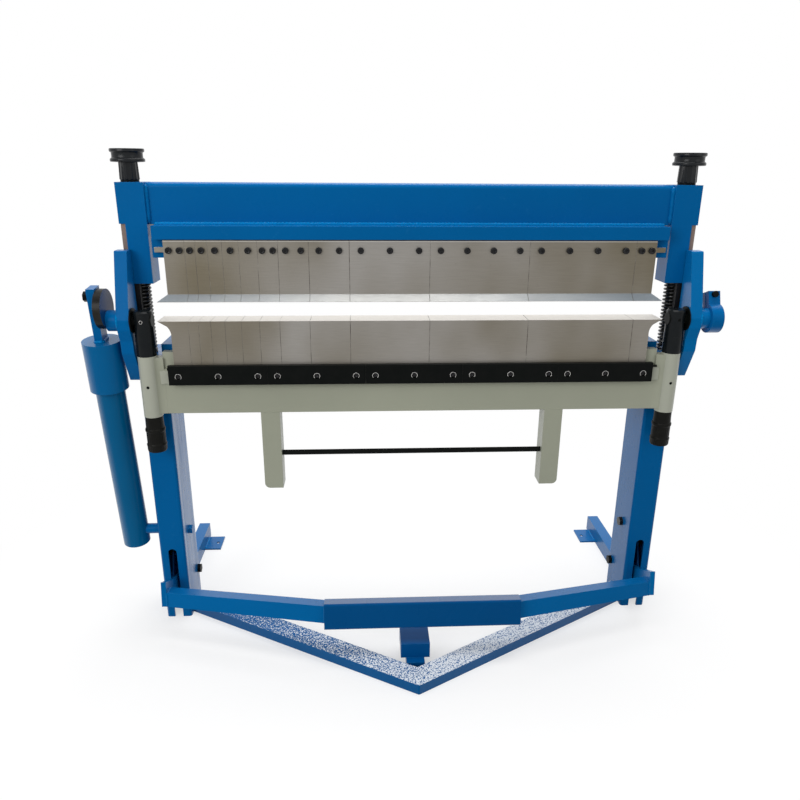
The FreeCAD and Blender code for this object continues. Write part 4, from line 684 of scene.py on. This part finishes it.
def sleeve_fillets():
    """Smooth fillers where the apron runs into its sleeves, front and back."""
    bm = bmesh.new()
    for side in (-1, 1):
        for face, way in ((APRON_FRONT_Y, -1), (21.5, 1)):
            slope = math.radians(38 if way < 0 else 66)
            end = Vector((POST_X - POST_R * math.cos(slope), way * POST_R * math.sin(slope)))
            if way > 0:
                end = Vector((POST_X - 9, 21.9))
            start = Vector((POST_X - POST_R - 16, face))
            bend = Vector((POST_X - POST_R - 1, face))
            curve = [start.lerp(bend, t / 8).lerp(bend.lerp(end, t / 8), t / 8) for t in range(9)]
            inner = [Vector((POST_X - 14, face * 0.5)), Vector((start.x, face * 0.5))]
            outline = curve + inner
            rings = [[bm.verts.new((side * p.x, p.y, z)) for p in outline] for z in (APRON_BOTTOM_Z, 805)]
            for i in range(len(outline)):
                j = (i + 1) % len(outline)
                bm.faces.new((rings[0][i], rings[0][j], rings[1][j], rings[1][i]))
            bm.faces.new(rings[0][::-1])
            bm.faces.new(rings[1])
    piece("sleeve_fillets", bm, GREY, "apron", sharp=50)


def bar_lugs():
    """Small steps of plate beside the ends of the clamp bars, on the apron's face."""
    bm = bmesh.new()
    outline = [(-9.5, 736), (-9.5, 772), (-4, 772), (-4, 736)]
    for side in (-1, 1):
        x0, x1 = sorted((side * 646, side * 616))
        slab(bm, outline, x0, x1, 2.0)
    piece("bar_lugs", bm, GREY_LIGHT, "apron")


def link_plates():
    """Links that stand on the pedal's levers inside the legs and show through the slots."""
    bm = bmesh.new()
    for side in (-1, 1):
        x0, x1 = sorted((side * 688, side * 692))
        slab(bm, [(54, 122), (96, 118), (138, 236), (98, 236)], x0, x1, 0.8)
    piece("link_plates", bm, BLUE_SHADED, "pedal")


def beam_welds():
    """Beads along the finger plate and up the corners between beam and end blocks."""
    bm = bmesh.new()
    bead(bm, Vector((-640, 59.5, FINGER_PLATE_TOP_Z)), Vector((640, 59.5, FINGER_PLATE_TOP_Z)), 4.8, 0.09, 9.0)
    piece("beam_welds", bm, BLUE_WELD, "beam", sharp=80)
    bm = bmesh.new()
    for side in (-1, 1):
        bead(bm, Vector((side * 652.5, 59.5, 1130)), Vector((side * 652.5, 60, 1221)), 6.2, 0.015, 16.0)
    piece("corner_welds", bm, BLUE_SEAM, "beam", sharp=80)


def frame_welds():
    """Beads at the pivot bosses, the strut's peg, the legs' feet and the rear feet."""
    bm = bmesh.new()
    for side in (-1, 1):
        ring_bead(bm, Vector((side * 731, 0, FOLD_Z)), 26, 3.2, TO_RIGHT)
        bead(bm, Vector((side * 644, 72, 28)), Vector((side * 644, 136, 28)), 4)
        bead(bm, Vector((side * 686, 178.5, 50)), Vector((side * 715, 178.5, 50)), 3.5)
        bead(bm, Vector((side * 685, 178.5, 4)), Vector((side * 685, 178.5, 49)), 3.2)
        bead(bm, Vector((side * 685, 424, 5)), Vector((side * 685, 498, 5)), 2.6)
    ring_bead(bm, Vector((-LEG_OUT_X, 75.6, 279)), 14.5, 2.6, TO_RIGHT)
    piece("frame_welds", bm, BLUE_WELD, "frame", sharp=80)


def pedal_welds():
    """Beads where the pedal's arms meet its levers and the treadle."""
    bm = bmesh.new()
    for side in (-1, 1):
        x = side * 678
        for z in (112.5, 71.5):
            bead(bm, Vector((x, -58, z)), Vector((x, -22, z)), 2.8)
        bead(bm, Vector((x, -59, 72)), Vector((x, -59, 112)), 3.0)
    for x in (-239, 280):
        bead(bm, Vector((x, -170, 116)), Vector((x, -134, 116)), 2.4)
        bead(bm, Vector((x, -171, 69)), Vector((x, -171, 115)), 2.4)
    bm.transform(LIFTED)
    piece("pedal_welds", bm, BLUE_SEAM, "pedal", sharp=80)


def strut_welds():
    """Bead round the foot of the hanger bar."""
    bm = bmesh.new()
    foot = HANGER_FOOT
    corners = [(-10, -19), (10, -19), (10, 19), (-10, 19)]
    for (x0, y0), (x1, y1) in zip(corners, corners[1:] + corners[:1]):
        bead(bm, Vector((STRUT_X + x0, y0, foot + 1.5)), Vector((STRUT_X + x1, y1, foot + 1.5)), 4)
    bm.transform(ON_STRUT)
    piece("strut_welds", bm, BLUE_WELD, "strut_upper", sharp=80)


def apron_welds():
    """Thin ground-down beads where the handles meet the apron."""
    bm = bmesh.new()
    for side in (-1, 1):
        bead(bm, Vector((side * 350, APRON_FRONT_Y + 0.4, APRON_BOTTOM_Z)),
             Vector((side * 397, APRON_FRONT_Y + 0.4, APRON_BOTTOM_Z)), 1.3, 0.05)
        bead(bm, Vector((side * 349, -4, APRON_BOTTOM_Z)), Vector((side * 349, 20, APRON_BOTTOM_Z)), 2.4)
    piece("apron_welds", bm, GREY, "apron", sharp=80)


height_knobs()
lower_knobs()
return_springs()
bolts_and_screws()
sleeve_fillets()
bar_lugs()
link_plates()
beam_welds()
frame_welds()
pedal_welds()
strut_welds()
apron_welds()


def seen_rays(tree):
    """1 for camera, glossy and transmission rays."""
    path = tree.nodes.new("ShaderNodeLightPath")
    total = None
    for kind in ("Is Camera Ray", "Is Glossy Ray", "Is Transmission Ray"):
        if total is None:
            total = path.outputs[kind]
            continue
        larger = tree.nodes.new("ShaderNodeMath")
        larger.operation = "MAXIMUM"
        tree.links.new(total, larger.inputs[0])
        tree.links.new(path.outputs[kind], larger.inputs[1])
        total = larger.outputs[0]
    return total


def white_floor():
    """Pale floor with a weak shadow near the machine, which runs out into plain white."""
    bpy.ops.mesh.primitive_plane_add(size=24)
    floor = bpy.context.object
    floor.name = "floor"
    m = Mat("floor_white")
    seen = seen_rays(m.tree)
    m.link(m.mix(seen, (0.4, 0.4, 0.4), (0.97, 0.97, 0.97)), m.out.inputs["Base Color"])
    m.set(Roughness=0.9, Specular_IOR_Level=0.1)
    length = m.add("ShaderNodeVectorMath", operation="LENGTH")
    m.link(m.coord, length.inputs[0])
    far = m.ramp(length.outputs["Value"], 0.5, 1.4, 0.5, 1.0)
    glow = m.add("ShaderNodeEmission")
    glow.inputs["Color"].default_value = (1, 1, 1, 1)
    glow.inputs["Strength"].default_value = 1.0
    both = m.add("ShaderNodeMixShader")
    m.link(m.times(far, seen), both.inputs[0])
    m.link(m.out.outputs[0], both.inputs[1])
    m.link(glow.outputs[0], both.inputs[2])
    m.link(both.outputs[0], m.tree.nodes["Material Output"].inputs["Surface"])
    floor.data.materials.append(m.mat)


def studio_world(strength):
    """Soft even light, which the camera and shiny surfaces see as white."""
    world = bpy.data.worlds.new("studio")
    bpy.context.scene.world = world
    world.use_nodes = True
    tree = world.node_tree
    level = tree.nodes.new("ShaderNodeMapRange")
    level.inputs["To Min"].default_value = strength
    level.inputs["To Max"].default_value = 1.0
    tree.links.new(seen_rays(tree), level.inputs["Value"])
    tree.links.new(level.outputs["Result"], tree.nodes["Background"].inputs["Strength"])
    tree.nodes["Background"].inputs["Color"].default_value = (1, 1, 1, 1)


def lamp(name, place, target, size, power):
    data = bpy.data.lights.new(name, "AREA")
    data.energy = power
    data.shape = "SQUARE"
    data.size = size
    made = bpy.data.objects.new(name, data)
    bpy.context.scene.collection.objects.link(made)
    made.location = place
    made.rotation_euler = (Vector(target) - Vector(place)).to_track_quat("-Z", "Y").to_euler()


def photo_camera():
    """Camera fitted to the photograph's straight edges and corners."""
    data = bpy.data.cameras.new("camera")
    data.sensor_width = 36.0
    data.lens = CAMERA_LENS
    data.clip_start = 0.05
    data.clip_end = 60.0
    camera = bpy.data.objects.new("camera", data)
    bpy.context.scene.collection.objects.link(camera)
    turn = Matrix.Rotation(math.radians(CAMERA_HEADING), 3, "Z")
    turn = turn @ Matrix.Rotation(math.radians(90 - CAMERA_DIP), 3, "X")
    turn = turn @ Matrix.Rotation(math.radians(CAMERA_ROLL), 3, "Z")
    place = TO_ROW @ CAMERA_PLACE
    camera.matrix_world = Matrix.Translation(place) @ turn.to_4x4()
    bpy.context.scene.camera = camera


white_floor()
studio_world(0.5)
lamp("overhead", (0.2, 0.5, 4.2), (0, 0.05, 0.5), 3.2, 125.0)
lamp("front_left", (-2.4, -2.9, 2.3), (-0.1, 0, 0.7), 2.0, 52.0)
lamp("front_right", (3.0, -2.8, 2.2), (0, 0, 0.7), 2.0, 10.0)
photo_camera()
bpy.context.scene.view_settings.view_transform = "Standard"
